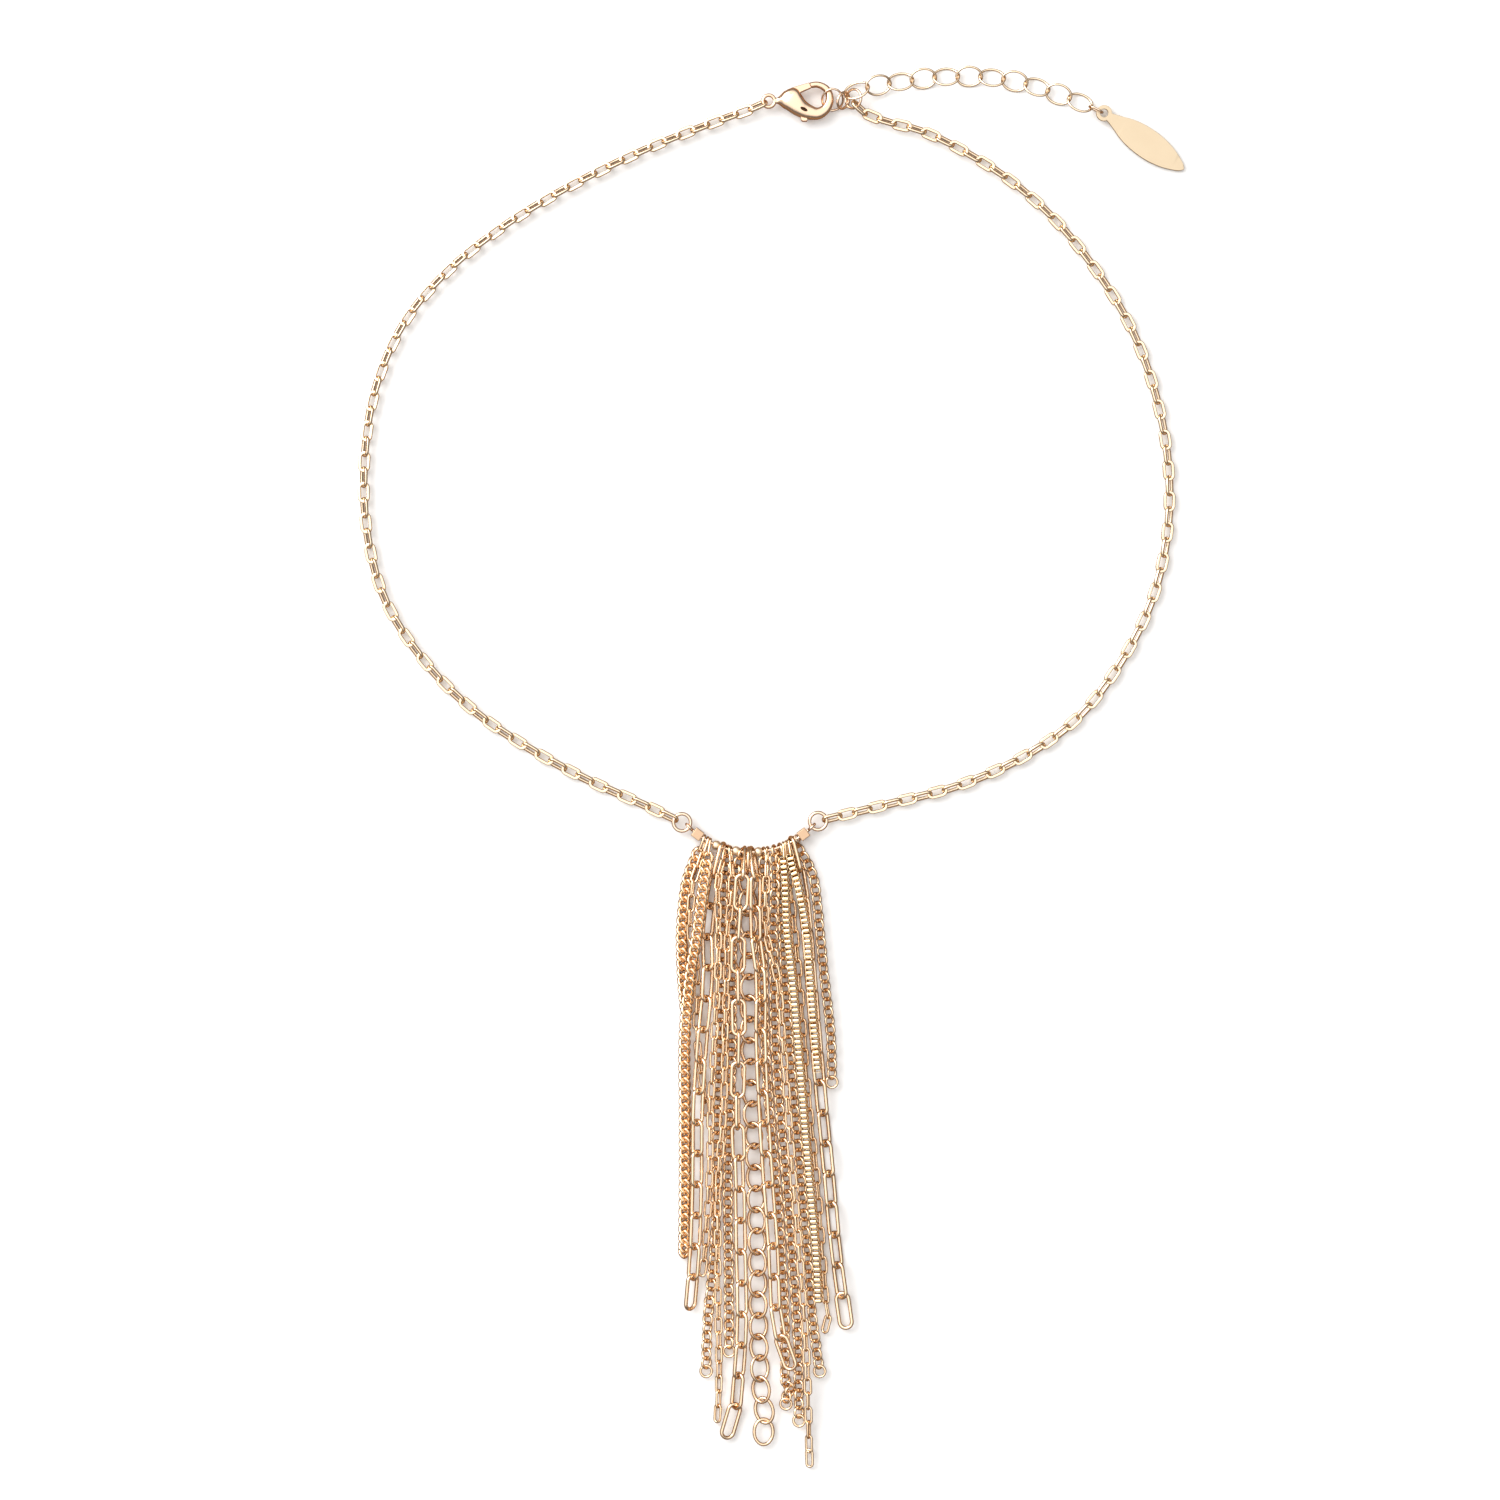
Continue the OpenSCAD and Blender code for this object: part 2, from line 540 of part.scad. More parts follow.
module bold_strand(name, first, top, foot) {
  t = track(hung(smooth(strand_points(strand(name), bar_z))));
  n = round(track_length(t)/(bold_l - 2*bold_wire - gap));
  chain(t, n, bold_rolls(n, first, top, foot), bold_l, bold_w, bold_wire);
}

// Height of the heavy links' first joint, and their lean to either side
oval_top_z = 1.6;
oval_lean = 30;

module oval_strand(name) {
  t = track(hung(smooth(strand_points(strand(name), oval_top_z))));
  n = round(track_length(t)/(oval_l - 2*oval_wire - gap));
  chain(t, n, [for (i = [0 : n - 1]) i == 0 ? 90 : i % 2 == 1 ? oval_lean : -oval_lean],
    oval_l, oval_w, oval_wire);
}

module curb_b() color(rose) cord("curb_b", "curb");
module fine_b() color(warm) cord("fine_b", "fine");
module curb_a() color(rose) cord("curb_a", "curb");
module paperclip_c() color(pale) bold_strand("paperclip_c", first = 112, top = 45, foot = 45);
module fine_d() color(warm) cord("fine_d", "fine");
module round_a() color(warm) cord("round_a", "round");
module fine_e() color(warm) cord("fine_e", "fine");
module round_b() color(warm) cord("round_b", "round");
module paperclip_g() color(pale) bold_strand("paperclip_g", first = 82, top = 0, foot = 45);
module oval_h() color(pale) oval_strand("oval_h");
module paperclip_i() color(pale) cord("paperclip_i", "bold");
module round_j() color(warm) cord("round_j", "round");
module fine_p() color(warm) cord("fine_p", "fine");
module round_l() color(warm) cord("round_l", "round");
module round_m() color(warm) cord("round_m", "round");
module box_a() color(rose) cord("box_a", "box");
module fine_n() color(warm) cord("fine_n", "fine");
module box_b() color(rose) cord("box_b", "box");
module paperclip_o() color(pale) cord("paperclip_o", "bold");
module round_q() color(warm) cord("round_q", "round");

neck_chain_left();
neck_chain_right();
clasp_body();
clasp_lever();
clasp_pin();
clasp_link();
cluster_ring();
joining_ring();
extender();
tag_ring();
tag();
jump_ring_left();
jump_ring_right();
bar();
square_bead_left();
square_bead_right();
round_bead_1();
round_bead_2();
round_bead_3();
bar_disc();
curb_b();
fine_b();
curb_a();
paperclip_c();
fine_d();
round_a();
fine_e();
round_b();
paperclip_g();
oval_h();
paperclip_i();
round_j();
fine_p();
round_l();
round_m();
box_a();
fine_n();
box_b();
paperclip_o();
round_q();
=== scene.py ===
import math
import random

import bmesh
import bpy
import numpy as np
from mathutils import Matrix, Vector


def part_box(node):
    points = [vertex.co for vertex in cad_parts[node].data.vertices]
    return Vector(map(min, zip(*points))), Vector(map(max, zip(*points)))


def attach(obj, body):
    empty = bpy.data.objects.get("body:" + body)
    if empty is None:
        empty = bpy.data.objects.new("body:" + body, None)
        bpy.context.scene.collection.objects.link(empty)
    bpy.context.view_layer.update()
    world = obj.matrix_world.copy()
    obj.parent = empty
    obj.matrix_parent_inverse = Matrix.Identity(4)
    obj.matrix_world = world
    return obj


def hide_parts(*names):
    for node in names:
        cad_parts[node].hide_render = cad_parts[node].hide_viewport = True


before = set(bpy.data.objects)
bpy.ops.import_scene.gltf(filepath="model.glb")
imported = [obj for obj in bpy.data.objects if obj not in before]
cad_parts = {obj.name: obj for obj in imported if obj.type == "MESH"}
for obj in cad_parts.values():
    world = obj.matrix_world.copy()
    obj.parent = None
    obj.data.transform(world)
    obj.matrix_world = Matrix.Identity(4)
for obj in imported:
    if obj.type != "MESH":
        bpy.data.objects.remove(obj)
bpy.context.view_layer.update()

# The table top: one smooth white sheet of card, laid flat, that runs well past the frame. It is
# part of the studio and not of the necklace.
MM = 0.001
SHEET_WIDTH = 8.0
SHEET_WHITE = (0.87, 0.865, 0.865, 1)
# Painted reflection: the dark brown that the sheet shows only in the polished wires
SHEET_PAINTED_REFLECTION = (0.24, 0.155, 0.09, 1)

sheet_mesh = bpy.data.meshes.new("table_top")
half = SHEET_WIDTH / 2
sheet_corners = [(-half, -half, 0), (half, -half, 0), (half, half, 0), (-half, half, 0)]
sheet_mesh.from_pydata(sheet_corners, [], [(0, 1, 2, 3)])
table_top = bpy.data.objects.new("table_top", sheet_mesh)
bpy.context.scene.collection.objects.link(table_top)
sheet_paint = bpy.data.materials.new("white_sheet")
sheet_paint.use_nodes = True
sheet_nodes, sheet_links = sheet_paint.node_tree.nodes, sheet_paint.node_tree.links
sheet_shader = sheet_nodes["Principled BSDF"]
# Painted reflection: seen in the polished wires the sheet takes a dark brown colour, which paints dark
# brown flanks on the wires. That holds only where the camera's ray has met no dull surface yet, so its
# count of them is under one half. Light that bounces between metal and sheet keeps its strength.
sheet_seen = sheet_nodes.new("ShaderNodeLightPath")
sheet_tone = sheet_nodes.new("ShaderNodeMix")
sheet_tone.data_type = "RGBA"
sheet_tone.inputs["A"].default_value = SHEET_WHITE
sheet_tone.inputs["B"].default_value = SHEET_PAINTED_REFLECTION
straight_seen = sheet_nodes.new("ShaderNodeMath")
straight_seen.operation = "LESS_THAN"
straight_seen.inputs[1].default_value = 0.5
painted_reflection_mask = sheet_nodes.new("ShaderNodeMath")
painted_reflection_mask.operation = "MULTIPLY"
sheet_links.new(sheet_seen.outputs["Diffuse Depth"], straight_seen.inputs[0])
sheet_links.new(sheet_seen.outputs["Is Glossy Ray"], painted_reflection_mask.inputs[0])
sheet_links.new(straight_seen.outputs["Value"], painted_reflection_mask.inputs[1])
sheet_links.new(painted_reflection_mask.outputs["Value"], sheet_tone.inputs["Factor"])
sheet_links.new(sheet_tone.outputs["Result"], sheet_shader.inputs["Base Color"])
sheet_shader.inputs["Roughness"].default_value = 0.9
sheet_shader.inputs["Specular IOR Level"].default_value = 0.1
table_top.data.materials.append(sheet_paint)

# The camera, the lamp and the room: the camera hangs straight above, one soft lamp stands at the
# upper left, and the rest of the light comes from a wide ceiling.
PIXEL_MM = 0.17
FRAME_PIXELS = 1500
LENS_MM = 100
SENSOR_MM = 36
VIEW_MIDDLE_MM = (-3.74, 2.72)

camera_data = bpy.data.cameras.new("overhead")
camera_data.lens = LENS_MM
camera_data.sensor_width = SENSOR_MM
camera_data.clip_start = 0.01
overhead = bpy.data.objects.new("overhead", camera_data)
bpy.context.scene.collection.objects.link(overhead)
camera_height = FRAME_PIXELS * PIXEL_MM * MM * LENS_MM / SENSOR_MM
overhead.location = (VIEW_MIDDLE_MM[0] * MM, VIEW_MIDDLE_MM[1] * MM, camera_height)
bpy.context.scene.camera = overhead

LAMP_PLACE = (-0.75, 0.62, 0.8)
LAMP_WIDTH = 0.9
LAMP_POWER = 10.5
lamp_data = bpy.data.lights.new("window_lamp", "AREA")
lamp_data.shape = "SQUARE"
lamp_data.size = LAMP_WIDTH
lamp_data.energy = LAMP_POWER
window_lamp = bpy.data.objects.new("window_lamp", lamp_data)
window_lamp.location = LAMP_PLACE
window_lamp.rotation_euler = (-Vector(LAMP_PLACE)).to_track_quat("-Z", "Y").to_euler()
bpy.context.scene.collection.objects.link(window_lamp)

# The ceiling is broad and bright, leans a little towards the lamp and ends well above a dim
# horizon, so that wires get a bright line with dark flanks and flat faces an even tone
ROOM_LOW = 0.15
ROOM_HIGH = 1.3
ROOM_EDGE = (0.33, 0.87)
ROOM_TOP = (-0.17, 0.15, 0.974)
room = bpy.data.worlds.new("room")
bpy.context.scene.world = room
room.use_nodes = True
room_nodes, room_links = room.node_tree.nodes, room.node_tree.links
room_light = room_nodes["Background"]
room_light.inputs["Color"].default_value = (1.0, 0.995, 0.985, 1)
heading = room_nodes.new("ShaderNodeTexCoord")
upward = room_nodes.new("ShaderNodeVectorMath")
upward.operation = "DOT_PRODUCT"
upward.inputs[1].default_value = ROOM_TOP
ceiling = room_nodes.new("ShaderNodeMapRange")
ceiling.interpolation_type = "SMOOTHSTEP"
ceiling.inputs["From Min"].default_value = ROOM_EDGE[0]
ceiling.inputs["From Max"].default_value = ROOM_EDGE[1]
ceiling.inputs["To Min"].default_value = ROOM_LOW
ceiling.inputs["To Max"].default_value = ROOM_HIGH
room_links.new(heading.outputs["Generated"], upward.inputs[0])
room_links.new(upward.outputs["Value"], ceiling.inputs["Value"])
# Looked at past the sheet, the far wall is as pale as the sheet
WALL_SEEN = 0.8
room_seen = room_nodes.new("ShaderNodeLightPath")
room_or_wall = room_nodes.new("ShaderNodeMix")
room_or_wall.inputs["B"].default_value = WALL_SEEN
room_links.new(room_seen.outputs["Is Camera Ray"], room_or_wall.inputs["Factor"])
room_links.new(ceiling.outputs["Result"], room_or_wall.inputs["A"])
room_links.new(room_or_wall.outputs["Result"], room_light.inputs["Strength"])

EXPOSURE = 0.2
bpy.context.scene.view_settings.view_transform = "Standard"
bpy.context.scene.view_settings.exposure = EXPOSURE

# The neck chain: two lengths of cable chain in brass wire, plated pale rose gold. Each link is
# bent, closed and soldered, then the finished chain is shaved flat on its faces to catch light.
NECK_LINK = {"length": 3.64, "width": 2.04, "wire": 0.54, "shave": 0.86, "squareness": 2.8}
# Roll of the links that lie flat and of those that stand, towards the middle of the loop
NECK_ROLLS = (10, 56)
LOOP_MIDDLE = (0, 55)


def new_group(name, inputs, outputs):
    """An empty node group with named inputs and outputs: (name, socket kind, value)."""
    tree = bpy.data.node_groups.new(name, "ShaderNodeTree")
    for title, kind, value in inputs:
        socket = tree.interface.new_socket(title, in_out="INPUT", socket_type=kind)
        socket.default_value = value
    for title, kind in outputs:
        tree.interface.new_socket(title, in_out="OUTPUT", socket_type=kind)
    start, end = tree.nodes.new("NodeGroupInput"), tree.nodes.new("NodeGroupOutput")
    return tree, start, end


# Lines that the draw plate leaves along a wire, from the map of length and turn round the wire
ALONG_AND_ROUND = (0.6, 30.0, 1.0)
drawn_lines, lines_in, lines_out = new_group(
    "drawn_lines",
    [("Fineness", "NodeSocketFloat", 1.0), ("Depth", "NodeSocketFloat", 1.0)],
    [("Height", "NodeSocketFloat")])
wire_map = drawn_lines.nodes.new("ShaderNodeUVMap")
stretch = drawn_lines.nodes.new("ShaderNodeMapping")
stretch.inputs["Scale"].default_value = ALONG_AND_ROUND
streaks = drawn_lines.nodes.new("ShaderNodeTexNoise")
streaks.inputs["Detail"].default_value = 3.0
deepen = drawn_lines.nodes.new("ShaderNodeMath")
deepen.operation = "MULTIPLY"
drawn_lines.links.new(wire_map.outputs["UV"], stretch.inputs["Vector"])
drawn_lines.links.new(stretch.outputs["Vector"], streaks.inputs["Vector"])
drawn_lines.links.new(lines_in.outputs["Fineness"], streaks.inputs["Scale"])
drawn_lines.links.new(streaks.outputs["Fac"], deepen.inputs[0])
drawn_lines.links.new(lines_in.outputs["Depth"], deepen.inputs[1])
drawn_lines.links.new(deepen.outputs["Value"], lines_out.inputs["Height"])

# Plating that is a little redder and duller in slow patches, and from one link to the next
PATCH_DULLING = 0.09
plate_tone, tone_in, tone_out = new_group(
    "plate_tone",
    [("Plate", "NodeSocketColor", (1, 1, 1, 1)), ("Copper", "NodeSocketColor", (1, 1, 1, 1)),
     ("Patch Size", "NodeSocketFloat", 250.0), ("Patch Share", "NodeSocketFloat", 0.4),
     ("Link Share", "NodeSocketFloat", 0.3), ("Gloss", "NodeSocketFloat", 0.2)],
    [("Color", "NodeSocketColor"), ("Roughness", "NodeSocketFloat")])
tone_place = plate_tone.nodes.new("ShaderNodeTexCoord")
patches = plate_tone.nodes.new("ShaderNodeTexNoise")
patches.inputs["Detail"].default_value = 4.0
link_tone = plate_tone.nodes.new("ShaderNodeAttribute")
link_tone.attribute_name = "link_tone"
patch_part = plate_tone.nodes.new("ShaderNodeMath")
patch_part.operation = "MULTIPLY"
link_part = plate_tone.nodes.new("ShaderNodeMath")
link_part.operation = "MULTIPLY_ADD"
blend_plate = plate_tone.nodes.new("ShaderNodeMix")
blend_plate.data_type = "RGBA"
dull = plate_tone.nodes.new("ShaderNodeMath")
dull.operation = "MULTIPLY_ADD"
dull.inputs[1].default_value = PATCH_DULLING
plate_tone.links.new(tone_place.outputs["Object"], patches.inputs["Vector"])
plate_tone.links.new(tone_in.outputs["Patch Size"], patches.inputs["Scale"])
plate_tone.links.new(patches.outputs["Fac"], patch_part.inputs[0])
plate_tone.links.new(tone_in.outputs["Patch Share"], patch_part.inputs[1])
plate_tone.links.new(link_tone.outputs["Fac"], link_part.inputs[0])
plate_tone.links.new(tone_in.outputs["Link Share"], link_part.inputs[1])
plate_tone.links.new(patch_part.outputs["Value"], link_part.inputs[2])
plate_tone.links.new(link_part.outputs["Value"], blend_plate.inputs["Factor"])
plate_tone.links.new(tone_in.outputs["Plate"], blend_plate.inputs["A"])
plate_tone.links.new(tone_in.outputs["Copper"], blend_plate.inputs["B"])
plate_tone.links.new(patches.outputs["Fac"], dull.inputs[0])
plate_tone.links.new(tone_in.outputs["Gloss"], dull.inputs[2])
plate_tone.links.new(blend_plate.outputs["Result"], tone_out.inputs["Color"])
plate_tone.links.new(dull.outputs["Value"], tone_out.inputs["Roughness"])

# Fine marks of wear and polishing, in the metal's own place, for wires and plates alike
MARKS_TURN = (0.3, 0.2, 0.6)
MARKS_STRETCH = (0.15, 1.0, 1.0)
handling, marks_in, marks_out = new_group(
    "handling_marks",
    [("Grain", "NodeSocketFloat", 4000.0), ("Depth", "NodeSocketFloat", 1.0)],
    [("Height", "NodeSocketFloat")])
marks_place = handling.nodes.new("ShaderNodeTexCoord")
lean = handling.nodes.new("ShaderNodeMapping")
lean.inputs["Rotation"].default_value = MARKS_TURN
lean.inputs["Scale"].default_value = MARKS_STRETCH
scuffs = handling.nodes.new("ShaderNodeTexNoise")
scuffs.inputs["Detail"].default_value = 2.0
scuff_depth = handling.nodes.new("ShaderNodeMath")
scuff_depth.operation = "MULTIPLY"
handling.links.new(marks_place.outputs["Object"], lean.inputs["Vector"])
handling.links.new(lean.outputs["Vector"], scuffs.inputs["Vector"])
handling.links.new(marks_in.outputs["Grain"], scuffs.inputs["Scale"])
handling.links.new(scuffs.outputs["Fac"], scuff_depth.inputs[0])
handling.links.new(marks_in.outputs["Depth"], scuff_depth.inputs[1])
handling.links.new(scuff_depth.outputs["Value"], marks_out.inputs["Height"])

BUMP_HEIGHT_MM = 0.02
BUMP_STRENGTH = 0.4
# The warmer colour that the plate takes where it is seen edge on
RIM_TINT = (0.92, 0.7, 0.52, 1)


def plated_metal(name, plate, copper, gloss, drawn=0.5, scuffed=0.3, link_share=0.3, patch_share=0.4):
    """Plated brass. plate is its clean colour, copper the redder one of its patches, and the two
    shares say how far patches and single links take it. gloss is the roughness of the cleanest
    spot, drawn the depth of the lines along a wire, and scuffed the depth of the marks of wear."""
    metal = bpy.data.materials.new(name)
    metal.use_nodes = True
    nodes, links = metal.node_tree.nodes, metal.node_tree.links
    shader = nodes["Principled BSDF"]
    shader.inputs["Metallic"].default_value = 1.0
    shader.inputs["Specular Tint"].default_value = RIM_TINT
    tone = nodes.new("ShaderNodeGroup")
    tone.node_tree = plate_tone
    tone.inputs["Plate"].default_value = (*plate, 1)
    tone.inputs["Copper"].default_value = (*copper, 1)
    tone.inputs["Gloss"].default_value = gloss
    tone.inputs["Link Share"].default_value = link_share
    tone.inputs["Patch Share"].default_value = patch_share
    marks = nodes.new("ShaderNodeGroup")
    marks.node_tree = handling
    marks.inputs["Depth"].default_value = scuffed
    bump = nodes.new("ShaderNodeBump")
    bump.inputs["Distance"].default_value = BUMP_HEIGHT_MM * MM
    bump.inputs["Strength"].default_value = BUMP_STRENGTH
    links.new(tone.outputs["Color"], shader.inputs["Base Color"])
    links.new(tone.outputs["Roughness"], shader.inputs["Roughness"])
    if drawn:
        lines = nodes.new("ShaderNodeGroup")
        lines.node_tree = drawn_lines
        lines.inputs["Depth"].default_value = drawn
        both = nodes.new("ShaderNodeMath")
        both.operation = "ADD"
        links.new(lines.outputs["Height"], both.inputs[0])
        links.new(marks.outputs["Height"], both.inputs[1])
        links.new(both.outputs["Value"], bump.inputs["Height"])
    else:
        links.new(marks.outputs["Height"], bump.inputs["Height"])
    links.new(bump.outputs["Normal"], shader.inputs["Normal"])
    return metal


chain_metal = plated_metal("rose_chain", plate=(1.0, 0.83, 0.62), copper=(0.97, 0.73, 0.49), gloss=0.14)

# Two points of a link's line nearer than this, in mm, are one
SAME_POINT = 1e-6


def wire_loop(length, width, wire, turn, around, tall=None, corner=None, shave=1.0, squareness=2.0,
              twist=0.0, oval=False):
    """A closed link lying flat, long way along x, in mm: points, faces, and the map on them.

    turn is the steps in each quarter of the link and around the sides of its wire. tall is
    the wire's height where it is a strip, corner the radius of its four bends at the middle
    of the wire, shave the share of the wire's height left between its two flat faces,
    squareness 2 for a round wire and more for a boxy one, twist the turn from end to end, and
    oval bends it to an ellipse with no straight sides."""
    tall = wire if tall is None else tall
    reach_x, reach_y = (length - wire) / 2, (width - wire) / 2
    corner = min(reach_x, reach_y) if corner is None else corner
    line, out = [], []
    for quarter in range(4):
        base = quarter * math.pi / 2
        sx = 1 if quarter in (0, 3) else -1
        sy = 1 if quarter in (0, 1) else -1
        for step in range(turn + 1):
            a = base + step / turn * math.pi / 2
            away = (math.cos(a), math.sin(a))
            here = (sx * (reach_x - corner) + corner * away[0], sy * (reach_y - corner) + corner * away[1])
            if oval:
                here = (reach_x * math.cos(a), reach_y * math.sin(a))
                away = Vector((math.cos(a) / reach_x, math.sin(a) / reach_y)).normalized()
            if line and math.dist(here, line[-1]) < SAME_POINT:
                continue
            line.append(here)
            out.append(tuple(away))
    if math.dist(line[0], line[-1]) < SAME_POINT:
        line.pop()
        out.pop()
    line, out = np.array(line), np.array(out)
    angle = (np.arange(around) + 0.5) * 2 * math.pi / around
    power = 2 / squareness
    ring_out = np.sign(np.cos(angle)) * np.abs(np.cos(angle)) ** power * wire / 2
    ring_up = np.sign(np.sin(angle)) * np.abs(np.sin(angle)) ** power * tall / 2
    ring_up = np.clip(ring_up, -shave * tall / 2, shave * tall / 2)
    points = np.zeros((len(line), around, 3))
    points[..., :2] = line[:, None] + out[:, None] * ring_out[None, :, None]
    points[..., 2] = ring_up
    if twist:
        turn_here = twist * points[..., 0] / length
        y, z = points[..., 1].copy(), points[..., 2].copy()
        points[..., 1] = y * np.cos(turn_here) - z * np.sin(turn_here)
        points[..., 2] = y * np.sin(turn_here) + z * np.cos(turn_here)
    n = len(line)
    i, k = np.meshgrid(np.arange(n), np.arange(around), indexing="ij")
    i2, k2 = (i + 1) % n, (k + 1) % around
    faces = np.stack([i * around + k, i2 * around + k, i2 * around + k2, i * around + k2], -1)
    steps = np.diff(np.vstack([line, line[:1]]), axis=0)
    run = np.concatenate([[0], np.cumsum(np.linalg.norm(steps, axis=1))])
    u = np.stack([run[i], run[i + 1], run[i + 1], run[i]], -1)
    v = np.stack([k, k, k + 1, k + 1], -1) / around
    return points.reshape(-1, 3), faces.reshape(-1, 4), np.stack([u, v], -1).reshape(-1, 2)


def mesh_piece(name, parts, metal, seed=1):
    """One object from (points, faces, map) parts in mm, each with a tone of its own."""
    pick = random.Random(seed)
    points, faces, maps, tones, start = [], [], [], [], 0
    for part_points, part_faces, part_map in parts:
        points.append(part_points)
        faces.append(part_faces + start)
        maps.append(part_map)
        tones.append(np.full(len(part_points), pick.random()))
        start += len(part_points)
    mesh = bpy.data.meshes.new(name)
    mesh.from_pydata((np.vstack(points) * MM).tolist(), [], np.vstack(faces).tolist())
    mesh.polygons.foreach_set("use_smooth", [True] * len(mesh.polygons))
    mesh.uv_layers.new(name="wire").data.foreach_set("uv", np.vstack(maps).ravel())
    mesh.attributes.new("link_tone", "FLOAT", "POINT").data.foreach_set("value", np.concatenate(tones))
    mesh.materials.append(metal)
    piece = bpy.data.objects.new(name, mesh)
    bpy.context.scene.collection.objects.link(piece)
    return piece


# Nothing comes nearer to the table than this, in mm
TABLE_AIR = 0.02


def in_place(part, middle, axes):
    """A link turned so that its x, y and z lie along the rows of axes, lifted off the table."""
    points, faces, wire_map = part
    placed = points @ axes + middle
    placed[:, 2] += max(0, TABLE_AIR - placed[:, 2].min())
    return placed, faces, wire_map


def link_axes(along, roll):
    """Rows of a link's own axes, rolled about its length by degrees from lying flat."""
    along = along / np.linalg.norm(along)
    side = np.array([-along[1], along[0], 0])
    side /= np.linalg.norm(side)
    up = np.cross(along, side)
    r = math.radians(roll)
    return np.array([along, math.cos(r) * side + math.sin(r) * up, -math.sin(r) * side + math.cos(r) * up])


# Corners of a solid nearer than this, in mm, are one
SAME_CORNER = 0.0005
# A link's wide direction that rises by less than this belongs to a link that lies flat
LIES_FLAT = 0.7


def solids_of(node):
    """Middle and long, wide and thin directions of each loose solid of a node, in mm."""
    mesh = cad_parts[node].data
    points = np.empty(len(mesh.vertices) * 3)
    mesh.vertices.foreach_get("co", points)
    points = points.reshape(-1, 3) / MM
    mesh.calc_loop_triangles()
    corners = np.empty(len(mesh.loop_triangles) * 3, int)
    mesh.loop_triangles.foreach_get("vertices", corners)
    grid = np.round(points / SAME_CORNER).astype(np.int64)
    keys, same = np.unique(grid, axis=0, return_inverse=True)
    corners = same.ravel()[corners].reshape(-1, 3)
    # Corners of one face take the lowest label among them, until each solid has one label
    label = np.arange(len(keys))
    while True:
        low = label[corners].min(1)
        before = label.copy()
        for column in range(3):
            np.minimum.at(label, corners[:, column], low)
        label = label[label]
        if (label == before).all():
            break
    place = np.zeros((len(keys), 3))
    place[same.ravel()] = points
    found = []
    # The skin of a link spreads most along its length and least through its thickness
    for mark in np.unique(label[corners[:, 0]]):
        tri = place[corners[label[corners[:, 0]] == mark]]
        area = np.linalg.norm(np.cross(tri[:, 1] - tri[:, 0], tri[:, 2] - tri[:, 0]), axis=1)
        middles = tri.mean(1)
        centre = (middles * area[:, None]).sum(0) / area.sum()
        spread = ((middles - centre) * area[:, None]).T @ (middles - centre)
        axes = np.linalg.eigh(spread)[1][:, ::-1].T
        axes[2] = np.cross(axes[0], axes[1])
        along = tri.reshape(-1, 3) @ axes.T
        found.append(((along.min(0) + along.max(0)) / 2 @ axes, axes))
    return found


def linked_piece(name, node, link, metal, seed, rolls=None, ends=()):
    """A chain whose links take the places of the node's own. rolls gives the flat and the
    upright links a roll of their own, with the rail towards the loop's middle uppermost. ends
    gives the links at the foot, from the last one up, a lean aside and a roll of their own."""
    parts = []
    places = sorted(solids_of(node), key=lambda place: place[0][1])
    for number, (lean, roll) in enumerate(ends):
        middle, axes = places[number]
        along = axes[0] * (1 if axes[0][1] > 0 else -1)
        reach = link[0][:, 0].max()
        pivot = middle + along * reach
        turn = math.radians(lean)
        along = np.array([along[0] * math.cos(turn) - along[1] * math.sin(turn),
                          along[0] * math.sin(turn) + along[1] * math.cos(turn), along[2]])
        places[number] = (pivot - along * reach, link_axes(along, roll))
    for middle, axes in places:
        if rolls:
            inward = np.array([*LOOP_MIDDLE, 0]) - middle
            along = axes[0]
            if np.cross(along, inward)[2] < 0:
                along = -along
            axes = link_axes(along, rolls[0] if abs(axes[1][2]) < LIES_FLAT else rolls[1])
        parts.append(in_place(link, middle, axes))
    piece = mesh_piece(name, parts, metal, seed)
    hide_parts(node)
    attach(piece, "necklace")


neck_link = wire_loop(**NECK_LINK, turn=6, around=16)
linked_piece("neck_links_left", "neck_chain_left", neck_link, chain_metal, 2, NECK_ROLLS)
linked_piece("neck_links_right", "neck_chain_right", neck_link, chain_metal, 3, NECK_ROLLS)

# Jump rings, the rings at the clasp and the tag's ring: round brass wire, cut from a coil,
# closed with pliers and plated like the chain.
JUMP_RING_PLATE = 0.055
CLUSTER_RING_PLATE = 0.03
# Corners nearer than this, in mm, are made one before a surface is built up or an edge broken
WELD_MM = 0.002
BROKEN_EDGE_ANGLE = 40
BROKEN_EDGE_STEPS = 3


def dress(node, metal, bevel=0.0, plate=0.0):
    """Gives a carried-over solid its metal, breaks its edges where bevel is above 0 mm, and
    builds its surface up by the plate's thickness."""
    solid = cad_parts[node]
    solid.data.materials.clear()
    solid.data.materials.append(metal)
    if plate or bevel:
        weld = solid.modifiers.new("weld", "WELD")
        weld.merge_threshold = WELD_MM * MM
    if plate:
        build_up = solid.modifiers.new("plate", "DISPLACE")
        build_up.mid_level = 0
        build_up.strength = plate * MM
    if bevel:
        round_over = solid.modifiers.new("broken_edge", "BEVEL")
        round_over.width = bevel * MM
        round_over.segments = BROKEN_EDGE_STEPS
        round_over.limit_method = "ANGLE"
        round_over.angle_limit = math.radians(BROKEN_EDGE_ANGLE)
        round_over.harden_normals = False
        smooth_by = solid.modifiers.new("even_light", "WEIGHTED_NORMAL")
        smooth_by.keep_sharp = True


ring_metal = plated_metal("rose_rings", plate=(0.93, 0.74, 0.57), copper=(0.84, 0.54, 0.36), gloss=0.12,
                          drawn=0)
for ring_node in ("jump_ring_left", "jump_ring_right"):
    dress(ring_node, ring_metal, plate=JUMP_RING_PLATE)
dress("cluster_ring", ring_metal, plate=CLUSTER_RING_PLATE)
dress("tag_ring", ring_metal)


